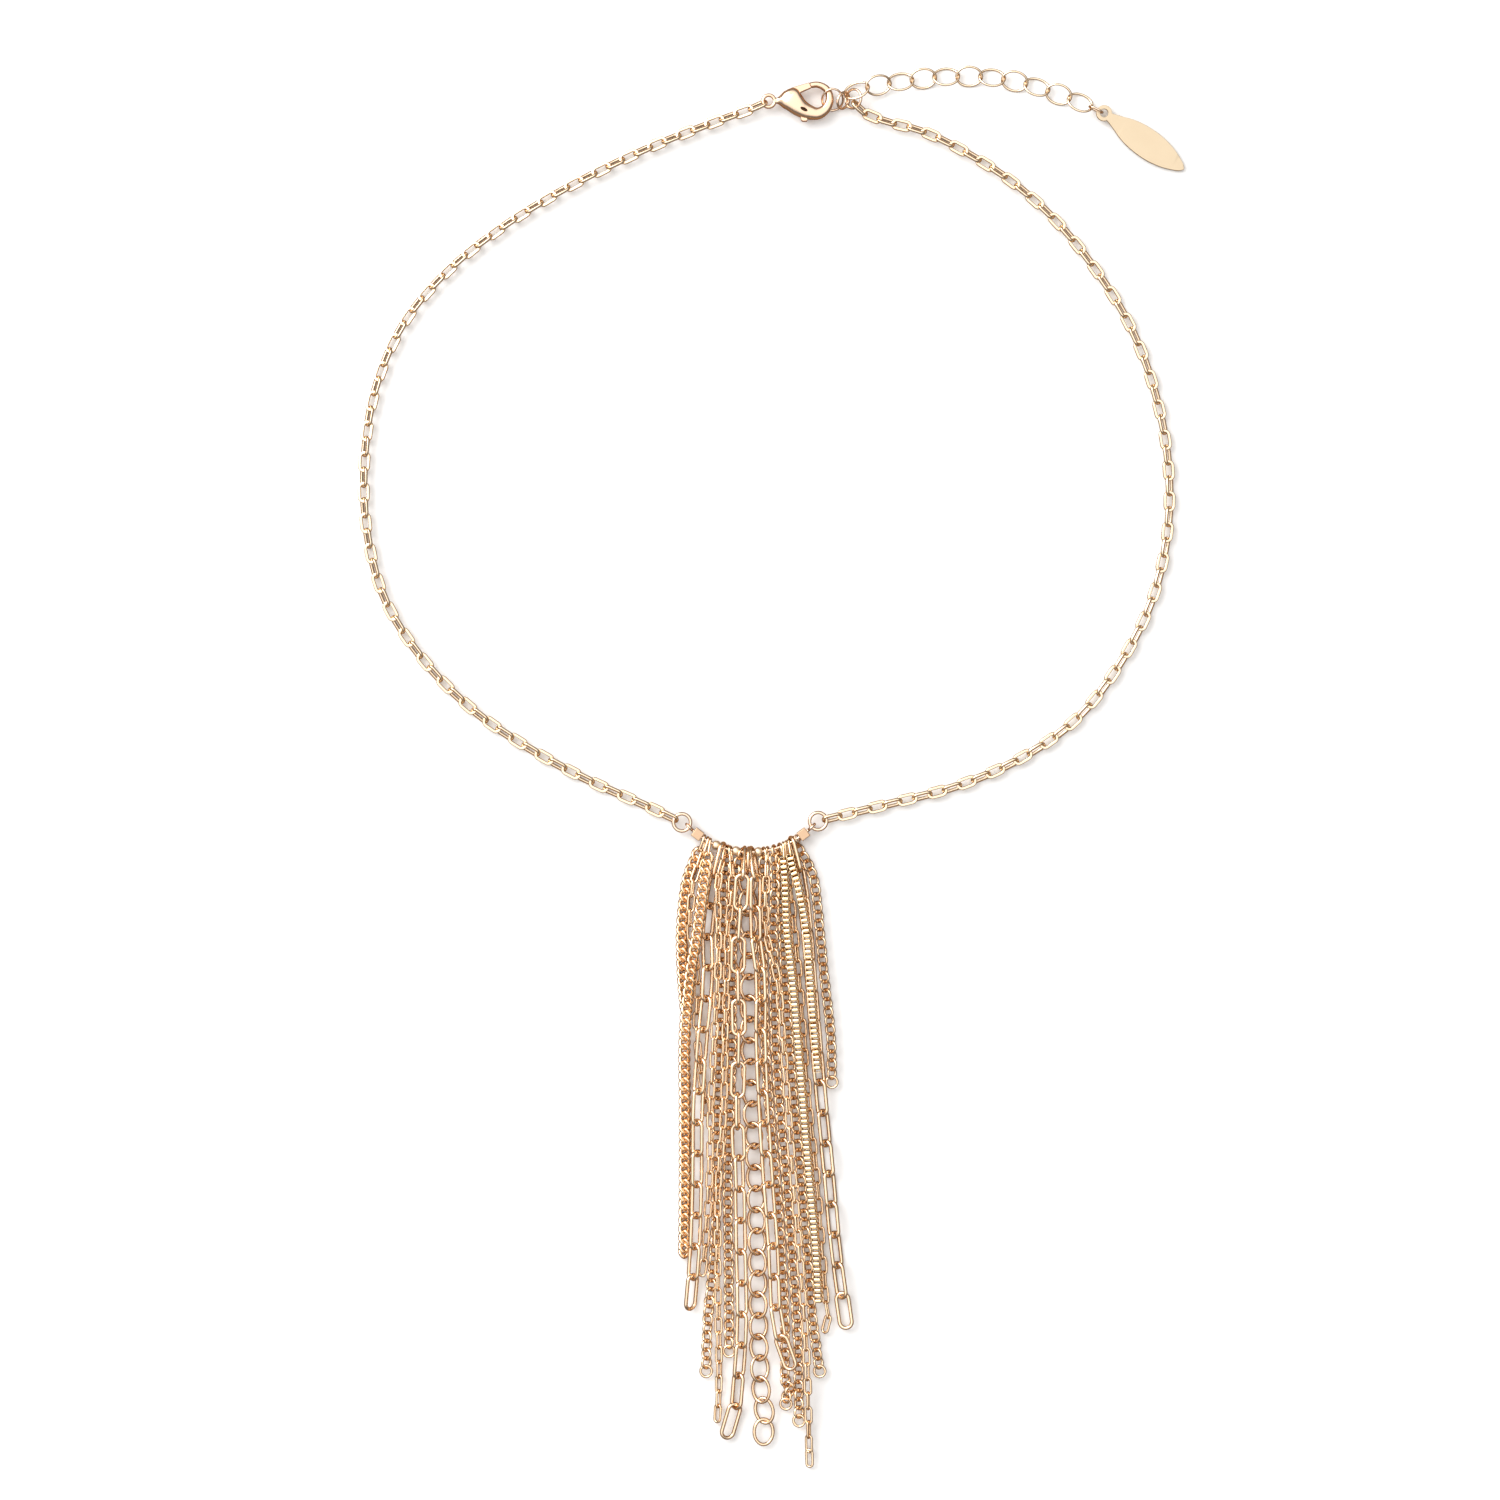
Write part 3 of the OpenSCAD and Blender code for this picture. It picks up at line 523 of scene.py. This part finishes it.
def set_ring(name, node, ring, middle, along, roll):
    """One ring that stands for a node, at a place and lean of its own."""
    loop = wire_loop(**ring, turn=9, around=12, oval=True)
    part = in_place(loop, np.array(middle), link_axes(np.array(along), roll))
    piece = mesh_piece(name, [part], ring_metal)
    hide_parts(node)
    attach(piece, "necklace")


# The ring that joins clasp, extender and neck chain leans up towards the chain
JOINING_RING = {"length": 3.65, "width": 3.65, "wire": 0.43}
set_ring("joining_loop", "joining_ring", JOINING_RING,
         middle=(13.8, 113.2, 1.45), along=(0, 1, 0), roll=-38)

# The clasp's link leans over the hook's band on its far side and under it on its near side
CLASP_RING = {"length": 3.9, "width": 4.5, "wire": 0.37}
set_ring("clasp_ring", "clasp_link", CLASP_RING,
         middle=(10.27, 113.03, 1.52), along=(1, 0, 0), roll=38)

# The bar: one stiff curved brass wire with a closed eye bent at each end, on which beads and
# strands are threaded. It is plated like the rings.
BAR_MIDDLE = (-3.65, 0.2)
BAR_RADIUS = 14.8
BAR_HEIGHT = 1.3
dress("bar", ring_metal)

# Beads on the bar: two small cubes at its ends, three balls and one flat ring between the
# strands, each pressed from brass, drilled and polished.
BALL_PLATE = 0.08
CUBE_EDGE = 0.14
bead_metal = plated_metal("rose_beads", plate=(1.0, 0.84, 0.63), copper=(0.95, 0.7, 0.46), gloss=0.42,
                          drawn=0, scuffed=0.6)
cube_metal = plated_metal("rose_cubes", plate=(0.68, 0.47, 0.31), copper=(0.5, 0.31, 0.18), gloss=0.36,
                          drawn=0, scuffed=0.8)
for bead_node in ("round_bead_1", "round_bead_2", "round_bead_3"):
    dress(bead_node, bead_metal, plate=BALL_PLATE)
for bead_node in ("square_bead_left", "square_bead_right"):
    dress(bead_node, cube_metal, bevel=CUBE_EDGE)

# The flat ring leans on the bar, so that it shows its round opening from above
DISC_RING = {"length": 1.5, "width": 1.5, "wire": 0.34}
DISC_LEAN = 38
disc_low, disc_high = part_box("bar_disc")
disc_middle = (np.array(disc_low) + np.array(disc_high)) / 2 / MM
bar_way = np.array([disc_middle[1] - BAR_MIDDLE[1], BAR_MIDDLE[0] - disc_middle[0], 0])
disc_axes = link_axes(np.cross(bar_way, (0, 0, 1)), 90 - DISC_LEAN)
disc_loop = in_place(wire_loop(**DISC_RING, turn=6, around=12), disc_middle, disc_axes)
bar_ring = mesh_piece("bar_ring", [disc_loop], bead_metal)
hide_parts("bar_disc")
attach(bar_ring, "necklace")

# Extender: eleven larger open links of thinner plated brass wire, each closed with pliers, so
# that the clasp can shut on any of them.
EXTENDER_LINK = {"length": 4.74, "width": 3.8, "wire": 0.39, "oval": True}
extender_link = wire_loop(**EXTENDER_LINK, turn=9, around=12)
linked_piece("extender_links", "extender", extender_link, chain_metal, seed=4)

# Tag: a leaf stamped from thin sheet brass, drilled for its ring at one tip, brushed to a satin
# finish and plated. It is bare on both faces.
TAG_EDGE = 0.12
tag_metal = plated_metal("rose_tag", plate=(0.72, 0.59, 0.42), copper=(0.6, 0.46, 0.3), gloss=0.44,
                         drawn=0, scuffed=0.3, patch_share=0.3)
dress("tag", tag_metal, bevel=TAG_EDGE)

# Lobster clasp: a cast body that runs round into the hook, a lever that shuts on the hook's
# tip, and the pin that it turns on. Tumbled to a mirror and plated pale rose gold.
polished = plated_metal("rose_polish", plate=(0.95, 0.69, 0.5), copper=(0.85, 0.57, 0.38), gloss=0.18,
                        drawn=0, scuffed=0.15, patch_share=0.3)
CLASP_PLACE = (-0.55, 112.8, 1.5)
# A little boxier than a round section, which has 2
CLASP_SQUARENESS = 2.6
# Columns: outer edge x and y, inner edge x and y, thickness
CLASP_BODY = [
    (0.9, -0.45, 0.9, 0.5, 0.9), (1.5, -0.47, 1.5, 0.6, 1.0), (2.0, -0.8, 2.05, 1.1, 1.6),
    (2.5, -1.2, 2.6, 1.65, 2.2), (3.3, -1.72, 3.3, 2.07, 2.7), (4.1, -2.25, 4.1, 2.3, 2.95),
    (4.7, -2.55, 4.85, 2.05, 3.0), (5.3, -2.8, 5.4, 1.33, 2.9), (5.9, -2.98, 5.8, 0.7, 2.7),
    (6.5, -3.08, 6.2, 0.1, 2.5), (7.2, -3.14, 6.8, -0.45, 2.3), (7.8, -3.15, 7.45, -0.84, 2.15)]
CLASP_HOOK = [
    (8.4, -3.1, 8.05, -1.12, 2.0), (9.15, -2.82, 8.6, -1.02, 1.85), (10.0, -2.15, 9.12, -0.72, 1.7),
    (10.7, -1.1, 9.5, -0.2, 1.65), (11.0, 0.1, 9.66, 0.45, 1.6), (10.88, 1.2, 9.62, 1.08, 1.55),
    (10.4, 2.2, 9.35, 1.62, 1.5), (9.65, 2.85, 8.9, 2.0, 1.5), (8.7, 3.22, 8.4, 2.22, 1.5),
    (7.8, 3.28, 7.95, 2.3, 1.5), (6.89, 3.1, 7.31, 2.22, 1.45)]


def smooth_rows(stations, between):
    """A smooth line through given stations, each a row of numbers, in steps between them."""
    table = np.array(stations, float)
    last = len(table) - 1
    rows = []
    for i in range(last):
        a, b, c, d = table[max(i - 1, 0)], table[i], table[i + 1], table[min(i + 2, last)]
        for j in range(between):
            t = j / between
            rows.append(0.5 * (2 * b + (c - a) * t + (2 * a - 5 * b + 4 * c - d) * t * t
                               + (3 * b - a - 3 * c + d) * t ** 3))
    rows.append(table[last])
    return np.array(rows)


def clasp_casting(rows, around):
    """The body and hook as one smooth skin through its rows, closed at both ends."""
    angle = np.arange(around) * 2 * math.pi / around
    power = 2 / CLASP_SQUARENESS
    across = np.sign(np.cos(angle)) * np.abs(np.cos(angle)) ** power
    up = np.sign(np.sin(angle)) * np.abs(np.sin(angle)) ** power
    points = []
    for ox, oy, ix, iy, thick in rows:
        middle = np.array([(ox + ix) / 2, (oy + iy) / 2, 0])
        reach = np.array([(ox - ix) / 2, (oy - iy) / 2, 0])
        points.append(middle + reach * across[:, None] + np.array([0, 0, thick / 2]) * up[:, None])
    bm = bmesh.new()
    rings = [[bm.verts.new(Vector(p)) for p in ring] for ring in points]
    for low, high in zip(rings, rings[1:]):
        for k in range(around):
            bm.faces.new((low[k], high[k], high[(k + 1) % around], low[(k + 1) % around]))
    bm.faces.new(rings[0])
    bm.faces.new(list(reversed(rings[-1])))
    bmesh.ops.recalc_face_normals(bm, faces=bm.faces)
    return bm


casting = clasp_casting(smooth_rows(CLASP_BODY + CLASP_HOOK, between=5), around=24)
casting_mesh = bpy.data.meshes.new("clasp_casting")
casting.to_mesh(casting_mesh)
casting.free()
casting_mesh.materials.append(polished)
clasp_body = bpy.data.objects.new("clasp_casting", casting_mesh)
bpy.context.scene.collection.objects.link(clasp_body)


def prism(name, outline, low, high, metal):
    """A closed prism on an outline, for cutting a slot or as a flat piece."""
    n = len(outline)
    points = [(x, y, low) for x, y in outline] + [(x, y, high) for x, y in outline]
    faces = [tuple(range(n - 1, -1, -1)), tuple(range(n, 2 * n))]
    faces += [(i, (i + 1) % n, n + (i + 1) % n, n + i) for i in range(n)]
    mesh = bpy.data.meshes.new(name)
    mesh.from_pydata(points, [], faces)
    bm = bmesh.new()
    bm.from_mesh(mesh)
    bmesh.ops.recalc_face_normals(bm, faces=bm.faces)
    bm.to_mesh(mesh)
    bm.free()
    mesh.materials.append(metal)
    piece = bpy.data.objects.new(name, mesh)
    bpy.context.scene.collection.objects.link(piece)
    return piece


def cut(piece, tool):
    """Cuts one closed mesh from another for good, and throws the tool away."""
    knife = piece.modifiers.new("cut", "BOOLEAN")
    knife.operation = "DIFFERENCE"
    knife.solver = "EXACT"
    knife.material_mode = "TRANSFER"
    knife.object = tool
    bpy.context.view_layer.update()
    shaped = bpy.data.meshes.new_from_object(piece.evaluated_get(bpy.context.evaluated_depsgraph_get()))
    piece.modifiers.clear()
    piece.data = shaped
    bpy.data.objects.remove(tool)


# Slot that the lever swings in, and the small window by its thumb nub
SLOT_OUTLINE = [(2.75, 3.2), (6.95, 3.2), (6.2, 0.9), (6.6, -1.6), (6.8, -4.5), (1.6, -4.5), (2.75, -1.2)]
SLOT_HALF = 0.65
WINDOW_MIDDLE = (5.95, -1.55)
WINDOW_TURN = -26
WINDOW_LONG = 1.35
WINDOW_WIDE = 0.62
WINDOW_STEPS = 16
ABOVE_CLASP = 3
# Painted shade: the slot's and window's cut faces take a dark brown, dull metal that stands in for the
# shadowed inside of the casting
recess_shade_metal = plated_metal("rose_recess_shade", plate=(0.42, 0.26, 0.15), copper=(0.25, 0.14, 0.08), gloss=0.5,
                            drawn=0, scuffed=1.0)
cut(clasp_body, prism("slot_tool", SLOT_OUTLINE, -SLOT_HALF, SLOT_HALF, recess_shade_metal))
window = []
turn = math.radians(WINDOW_TURN)
for step in range(WINDOW_STEPS):
    a = 2 * math.pi * step / WINDOW_STEPS
    x, y = WINDOW_LONG / 2 * math.cos(a), WINDOW_WIDE / 2 * math.sin(a)
    window.append((WINDOW_MIDDLE[0] + x * math.cos(turn) - y * math.sin(turn),
                   WINDOW_MIDDLE[1] + x * math.sin(turn) + y * math.cos(turn)))
cut(clasp_body, prism("window_tool", window, 0, ABOVE_CLASP, recess_shade_metal))

# The clasp's small end ring is cast in one with the body
CLASP_EYE = {"length": 2.62, "width": 2.62, "wire": 0.6, "tall": 0.8, "squareness": 2.6}
# Edges of the casting that turn by more than this stay sharp
CAST_EDGE_ANGLE = 38
eye = wire_loop(**CLASP_EYE, turn=9, around=14)
eye_mesh = bpy.data.meshes.new("clasp_eye")
eye_mesh.from_pydata(eye[0].tolist(), [], eye[1].tolist())
whole = bmesh.new()
whole.from_mesh(clasp_body.data)
whole.from_mesh(eye_mesh)
bmesh.ops.transform(whole, matrix=Matrix.Scale(MM, 4) @ Matrix.Translation(CLASP_PLACE), verts=whole.verts)
for face in whole.faces:
    face.smooth = True
for edge in whole.edges:
    edge.smooth = len(edge.link_faces) == 2 and edge.calc_face_angle(0) < math.radians(CAST_EDGE_ANGLE)
whole.to_mesh(clasp_body.data)
whole.free()
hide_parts("clasp_body")
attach(clasp_body, "necklace")

# The lever is stamped from strip: its arm meets the hook's tip and its nub stands out below
LEVER_OUTLINE = [
    (6.84, 3.1), (4.4, 2.4), (3.6, 2.1), (3.0, 1.7), (2.95, 0.8), (3.9, -0.5), (4.7, -1.9), (5.35, -2.75),
    (5.48, -3.28), (5.72, -3.46), (6.4, -3.46), (6.6, -3.28), (6.55, -2.7), (5.6, -2.3), (5.15, -1.8),
    (4.95, -0.6), (4.95, 0.9), (5.45, 1.45), (7.25, 2.24)]
LEVER_HALF = 0.55
LEVER_ROUND = 0.13
LEVER_EDGE_ANGLE = 50
PIN_EDGE = 0.06
lever = prism("lever_arm", LEVER_OUTLINE, -LEVER_HALF, LEVER_HALF, polished)
lever.data.transform(Matrix.Scale(MM, 4) @ Matrix.Translation(CLASP_PLACE))
lever_edge = lever.modifiers.new("rounded_edge", "BEVEL")
lever_edge.width = LEVER_ROUND * MM
lever_edge.segments = BROKEN_EDGE_STEPS
lever_edge.limit_method = "ANGLE"
lever_edge.angle_limit = math.radians(LEVER_EDGE_ANGLE)
lever.data.polygons.foreach_set("use_smooth", [True] * len(lever.data.polygons))
lever.modifiers.new("even_light", "WEIGHTED_NORMAL").keep_sharp = True
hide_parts("clasp_lever")
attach(lever, "lever")
dress("clasp_pin", polished, bevel=PIN_EDGE)

# Bold strands of the fringe: long paperclip links and heavy oval links. Each link is bent from
# round brass wire, hung in the one before it, soldered shut and plated rose gold.
BOLD_LINK = {"length": 6.64, "width": 2.8, "wire": 0.65}
OVAL_LINK = {"length": 4.9, "width": 3.8, "wire": 0.57, "oval": True}
bold_metal = plated_metal("rose_bold", plate=(1.0, 0.8, 0.58), copper=(0.82, 0.54, 0.33), gloss=0.07,
                          link_share=0.35, patch_share=0.3)
oval_metal = plated_metal("rose_oval", plate=(0.94, 0.72, 0.5), copper=(0.76, 0.48, 0.28), gloss=0.12,
                          link_share=0.35, patch_share=0.3)
bold_link = wire_loop(**BOLD_LINK, turn=7, around=12)
oval_link = wire_loop(**OVAL_LINK, turn=8, around=12)
# Lean aside and roll of the links at the foot, the last one first
BOLD_ENDS = [(-11, 20)]
OVAL_ENDS = [(-4, 8), (6, -22)]
linked_piece("bold_links_c", "paperclip_c", bold_link, bold_metal, seed=5)
linked_piece("bold_links_g", "paperclip_g", bold_link, bold_metal, seed=6, ends=BOLD_ENDS)
linked_piece("oval_links_h", "oval_h", oval_link, oval_metal, seed=7, ends=OVAL_ENDS)

# The other strands of the fringe, all of brass plated rose gold: fine cable, round cable, twisted
# curb, folded box chain and paperclip chain. Each hangs on the bar by a first link of its own and
# lies on or over its neighbours.
STATION_Y = [-17, -20, -28, -36, -46, -58, -70, -82, -94, -104, -116]
# A strand's end that curls or swings aside has points of its own before its foot
CURLS = {
    "round_j": [(2.2, -104.2, 0.9), (3.15, -105.3, 1.0), (3.4, -106.3, 1.35), (2.1, -106.8, 1.3),
                (2.35, -108, 0.95)],
    "fine_n": [(9.15, -91, 0.7), (9.6, -93.2, 0.7)]}
# Columns: name, kind, x on the bar, x at each station, height at each station, foot
STRANDS = [
    ("curb_b", "curb", -11.6, [-13.5, -14.5, -15.3, -15.1], [0.9, 0.75, 0.7, 0.7], (-14.6, -41.5, 0.7)),
    ("fine_b", "fine", -11.05, [-12.5, -13.4, -13.9, -12.6, -12.75, -11.3],
     [1.9, 2.1, 2.05, 0.8, 0.75, 0.7], (-11.2, -58.8, 0.7)),
    ("curb_a", "curb", -10.5, [-11.15, -11.6, -12.6, -13.9, -14.8, -14.8, -14.8, -14.9],
     [2.5, 3.1, 3.4, 2.7, 1.6, 0.75, 0.7, 0.7], (-14.9, -82.5, 0.7)),
    ("fine_d", "fine", -7.93, [-8.5, -9.2, -9.1, -9.2, -9.8, -10.4, -10.6, -11.35],
     [2.6, 3.1, 2.7, 3.1, 2.6, 2.5, 2.5, 0.85], (-11.9, -86.4, 0.7)),
    ("round_a", "round", -7.48, [-7.9, -8.25, -8.5, -8.6, -8.8, -9.3, -9.35, -9.75, -10.9],
     [1.05, 0.9, 0.85, 0.85, 0.85, 0.85, 0.85, 0.85, 0.85], (-11.2, -103.5, 0.85)),
    ("fine_e", "fine", -7.03, [-6.9, -6.75, -7.5, -7.7, -8, -8.2, -9.1, -9.2, -9.1, -9],
     [2, 2.45, 2.5, 2.5, 2.5, 2.5, 2.5, 2.5, 1.3, 0.75], (-9.3, -111.2, 0.7)),
    ("round_b", "round", -5.2, [-5.95, -6.55, -6.7, -6.75, -6.8, -7.1, -7.5, -7.4, -7.3],
     [1.05, 0.9, 0.85, 0.85, 0.85, 0.85, 0.85, 0.85, 0.85], (-7.3, -100.1, 0.85)),
    ("paperclip_i", "bold", -3.35, [-3, -2.75, -2.85, -1.9, -1.95, -1.45, -0.7, 0.2, 0.8],
     [2.95, 3.4, 3.1, 3.05, 3, 3, 3, 3, 3], (3.2, -101.7, 3)),
    ("round_j", "round", -1.4, [-1.45, -1.45, -1.55, -1.5, -1.25, -0.5, 0.65, 1.5, 2.2],
     [1.05, 0.9, 0.85, 0.85, 0.85, 0.85, 0.85, 0.85, 0.85], (2.5, -109, 0.85)),
    ("fine_p", "fine", -0.75, [-0.9, -1, -1.05, 0.9, 1.8, 2.7, 3.6, 4.6, 5.5, 6, 6.3],
     [2.1, 2.55, 2.7, 2.6, 2.5, 2.5, 2.5, 2.5, 2.5, 2.5, 0.9], (6.4, -118.8, 0.7)),
    ("round_l", "round", 0.35, [0.4, 0.55, 0.15, 0.4, 0.5, 1.3, 2.4, 3.3, 4.2, 4.5],
     [2, 2.4, 1.45, 0.85, 0.85, 0.85, 0.85, 0.85, 0.85, 0.85], (4.6, -111.9, 0.85)),
    ("round_m", "round", 1.3, [1.4, 1.45, 1.9, 2.2, 2.8, 3.8, 4.9, 5.9, 6.9],
     [1.05, 0.9, 0.85, 0.85, 0.85, 0.85, 0.85, 0.85, 0.85], (8.2, -103.5, 0.85)),
    ("box_a", "box", 1.9, [2.1, 2.3, 2.6, 3.5, 4.4, 5.4, 6.4, 7.5],
     [2.1, 2.5, 2.5, 2.5, 2.5, 2.5, 2.5, 2.5], (7.9, -90.8, 2.5)),
    ("fine_n", "fine", 2.4, [2.7, 3.05, 3.85, 4.6, 5.35, 6.3, 7.6, 8.5],
     [0.95, 0.75, 0.7, 0.7, 0.7, 0.7, 0.7, 0.7], (8.95, -96, 0.7)),
    ("box_b", "box", 2.85, [3.5, 4.4, 5.9, 6.5, 7.3], [2.5, 3.3, 3.3, 3.3, 3.3], (7.8, -51.7, 3.3)),
    ("paperclip_o", "bold", 3.35, [4.4, 5.05, 5.95, 6.6, 7.4, 8.5, 9.7, 10.8],
     [1.3, 1.1, 1, 1, 1, 1, 1, 1], (12.6, -95, 1)),
    ("round_q", "round", 3.8, [6.3, 7.25, 8.1, 8.9, 10], [0.95, 0.85, 0.85, 0.85, 0.85],
     (10.15, -54.4, 0.85))]

FINE_LINK = {"length": 3.34, "width": 1.5, "wire": 0.42}
ROUND_LINK = {"length": 2.36, "width": 2.36, "wire": 0.44}
CURB_LINK = {"length": 2.8, "width": 2.15, "wire": 0.66, "twist": math.radians(-112), "oval": True}
BOX_LINK = {"length": 0.66, "width": 1.35, "wire": 0.1, "tall": 1.05, "corner": 0.2, "squareness": 5}
FINE_PITCH = 2.5
fine_link = wire_loop(**FINE_LINK, turn=5, around=9)
fringe_metal = plated_metal("rose_fringe", plate=(1.0, 0.79, 0.55), copper=(0.8, 0.5, 0.28), gloss=0.06,
                            link_share=0.35, patch_share=0.3)
box_metal = plated_metal("rose_box", plate=(0.93, 0.76, 0.5), copper=(0.76, 0.54, 0.3), gloss=0.16)
# Columns: link, metal, pitch, roll of odd and of even links, spread of the roll by chance
CHAINS = {
    "fine": (fine_link, fringe_metal, FINE_PITCH, (20, 110), 14),
    "round": (wire_loop(**ROUND_LINK, turn=5, around=9), fringe_metal, 1.48, (45, -45), 6),
    "curb": (wire_loop(**CURB_LINK, turn=5, around=9), fringe_metal, 1.44, (0, 0), 3),
    "box": (wire_loop(**BOX_LINK, turn=3, around=12), box_metal, 0.45, (14, 104), 2),
    "bold": (bold_link, bold_metal, 5.33, (45, -45), 3)}
# The first link starts behind the bar's wire, by this many mm, and stands nearly upright there
HANG_BACK = 0.35
FIRST_ROLLS = (72, 108)
ON_EDGE = 90
# Roll of the last link, by the strand's name or else its kind: it lies flatter than the rest
LAST_ROLL = {"round": 8, "paperclip_o": 12, "paperclip_i": 22, "fine_p": 20, "fine_e": 30}
STEPS_TO_A_SPAN = 8
CHANCE_SEED = 100
TONE_SEED = 20


def run_along(line):
    """How far each point of a line lies from its start, along the line."""
    return np.concatenate([[0], np.cumsum(np.linalg.norm(np.diff(line, axis=0), axis=1))])


def link_on(route, start, end, link, roll):
    """A link that spans two distances along a route, with its middle halfway between."""
    line, run = route
    low, high = [np.array([np.interp(at, run, line[:, axis]) for axis in range(3)]) for at in (start, end)]
    return in_place(link, (low + high) / 2, link_axes(high - low, roll))


for number, (name, kind, bar_x, xs, heights, foot) in enumerate(STRANDS):
    chance = random.Random(CHANCE_SEED + number)
    bar_y = BAR_MIDDLE[1] - math.sqrt(BAR_RADIUS ** 2 - (bar_x - BAR_MIDDLE[0]) ** 2)
    points = [(bar_x, bar_y, BAR_HEIGHT)] + list(zip(xs, STATION_Y, heights)) + CURLS.get(name, []) + [foot]
    line = smooth_rows(points, STEPS_TO_A_SPAN)
    back = line[0] - (line[1] - line[0]) / np.linalg.norm(line[1] - line[0]) * HANG_BACK
    line = np.vstack([back, line])
    route = (line, run_along(line))
    link, metal, pitch, rolls, spread = CHAINS[kind]
    parts = []
    begin = 0.0
    if kind in ("curb", "box"):
        begin = FINE_PITCH
        parts.append(link_on(route, 0, begin, fine_link, ON_EDGE))
    count = round((route[1][-1] - begin) / pitch)
    pitch = (route[1][-1] - begin) / count
    for i in range(count):
        roll = rolls[i % 2] + chance.uniform(-spread, spread)
        if i == 0 and begin == 0:
            roll = chance.choice(FIRST_ROLLS)
        if i == count - 1:
            roll = LAST_ROLL.get(name, LAST_ROLL.get(kind, roll))
        parts.append(link_on(route, begin + i * pitch, begin + (i + 1) * pitch, link, roll))
    strand = mesh_piece(name + "_links", parts, metal, seed=TONE_SEED + number)
    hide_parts(name)
    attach(strand, "necklace")
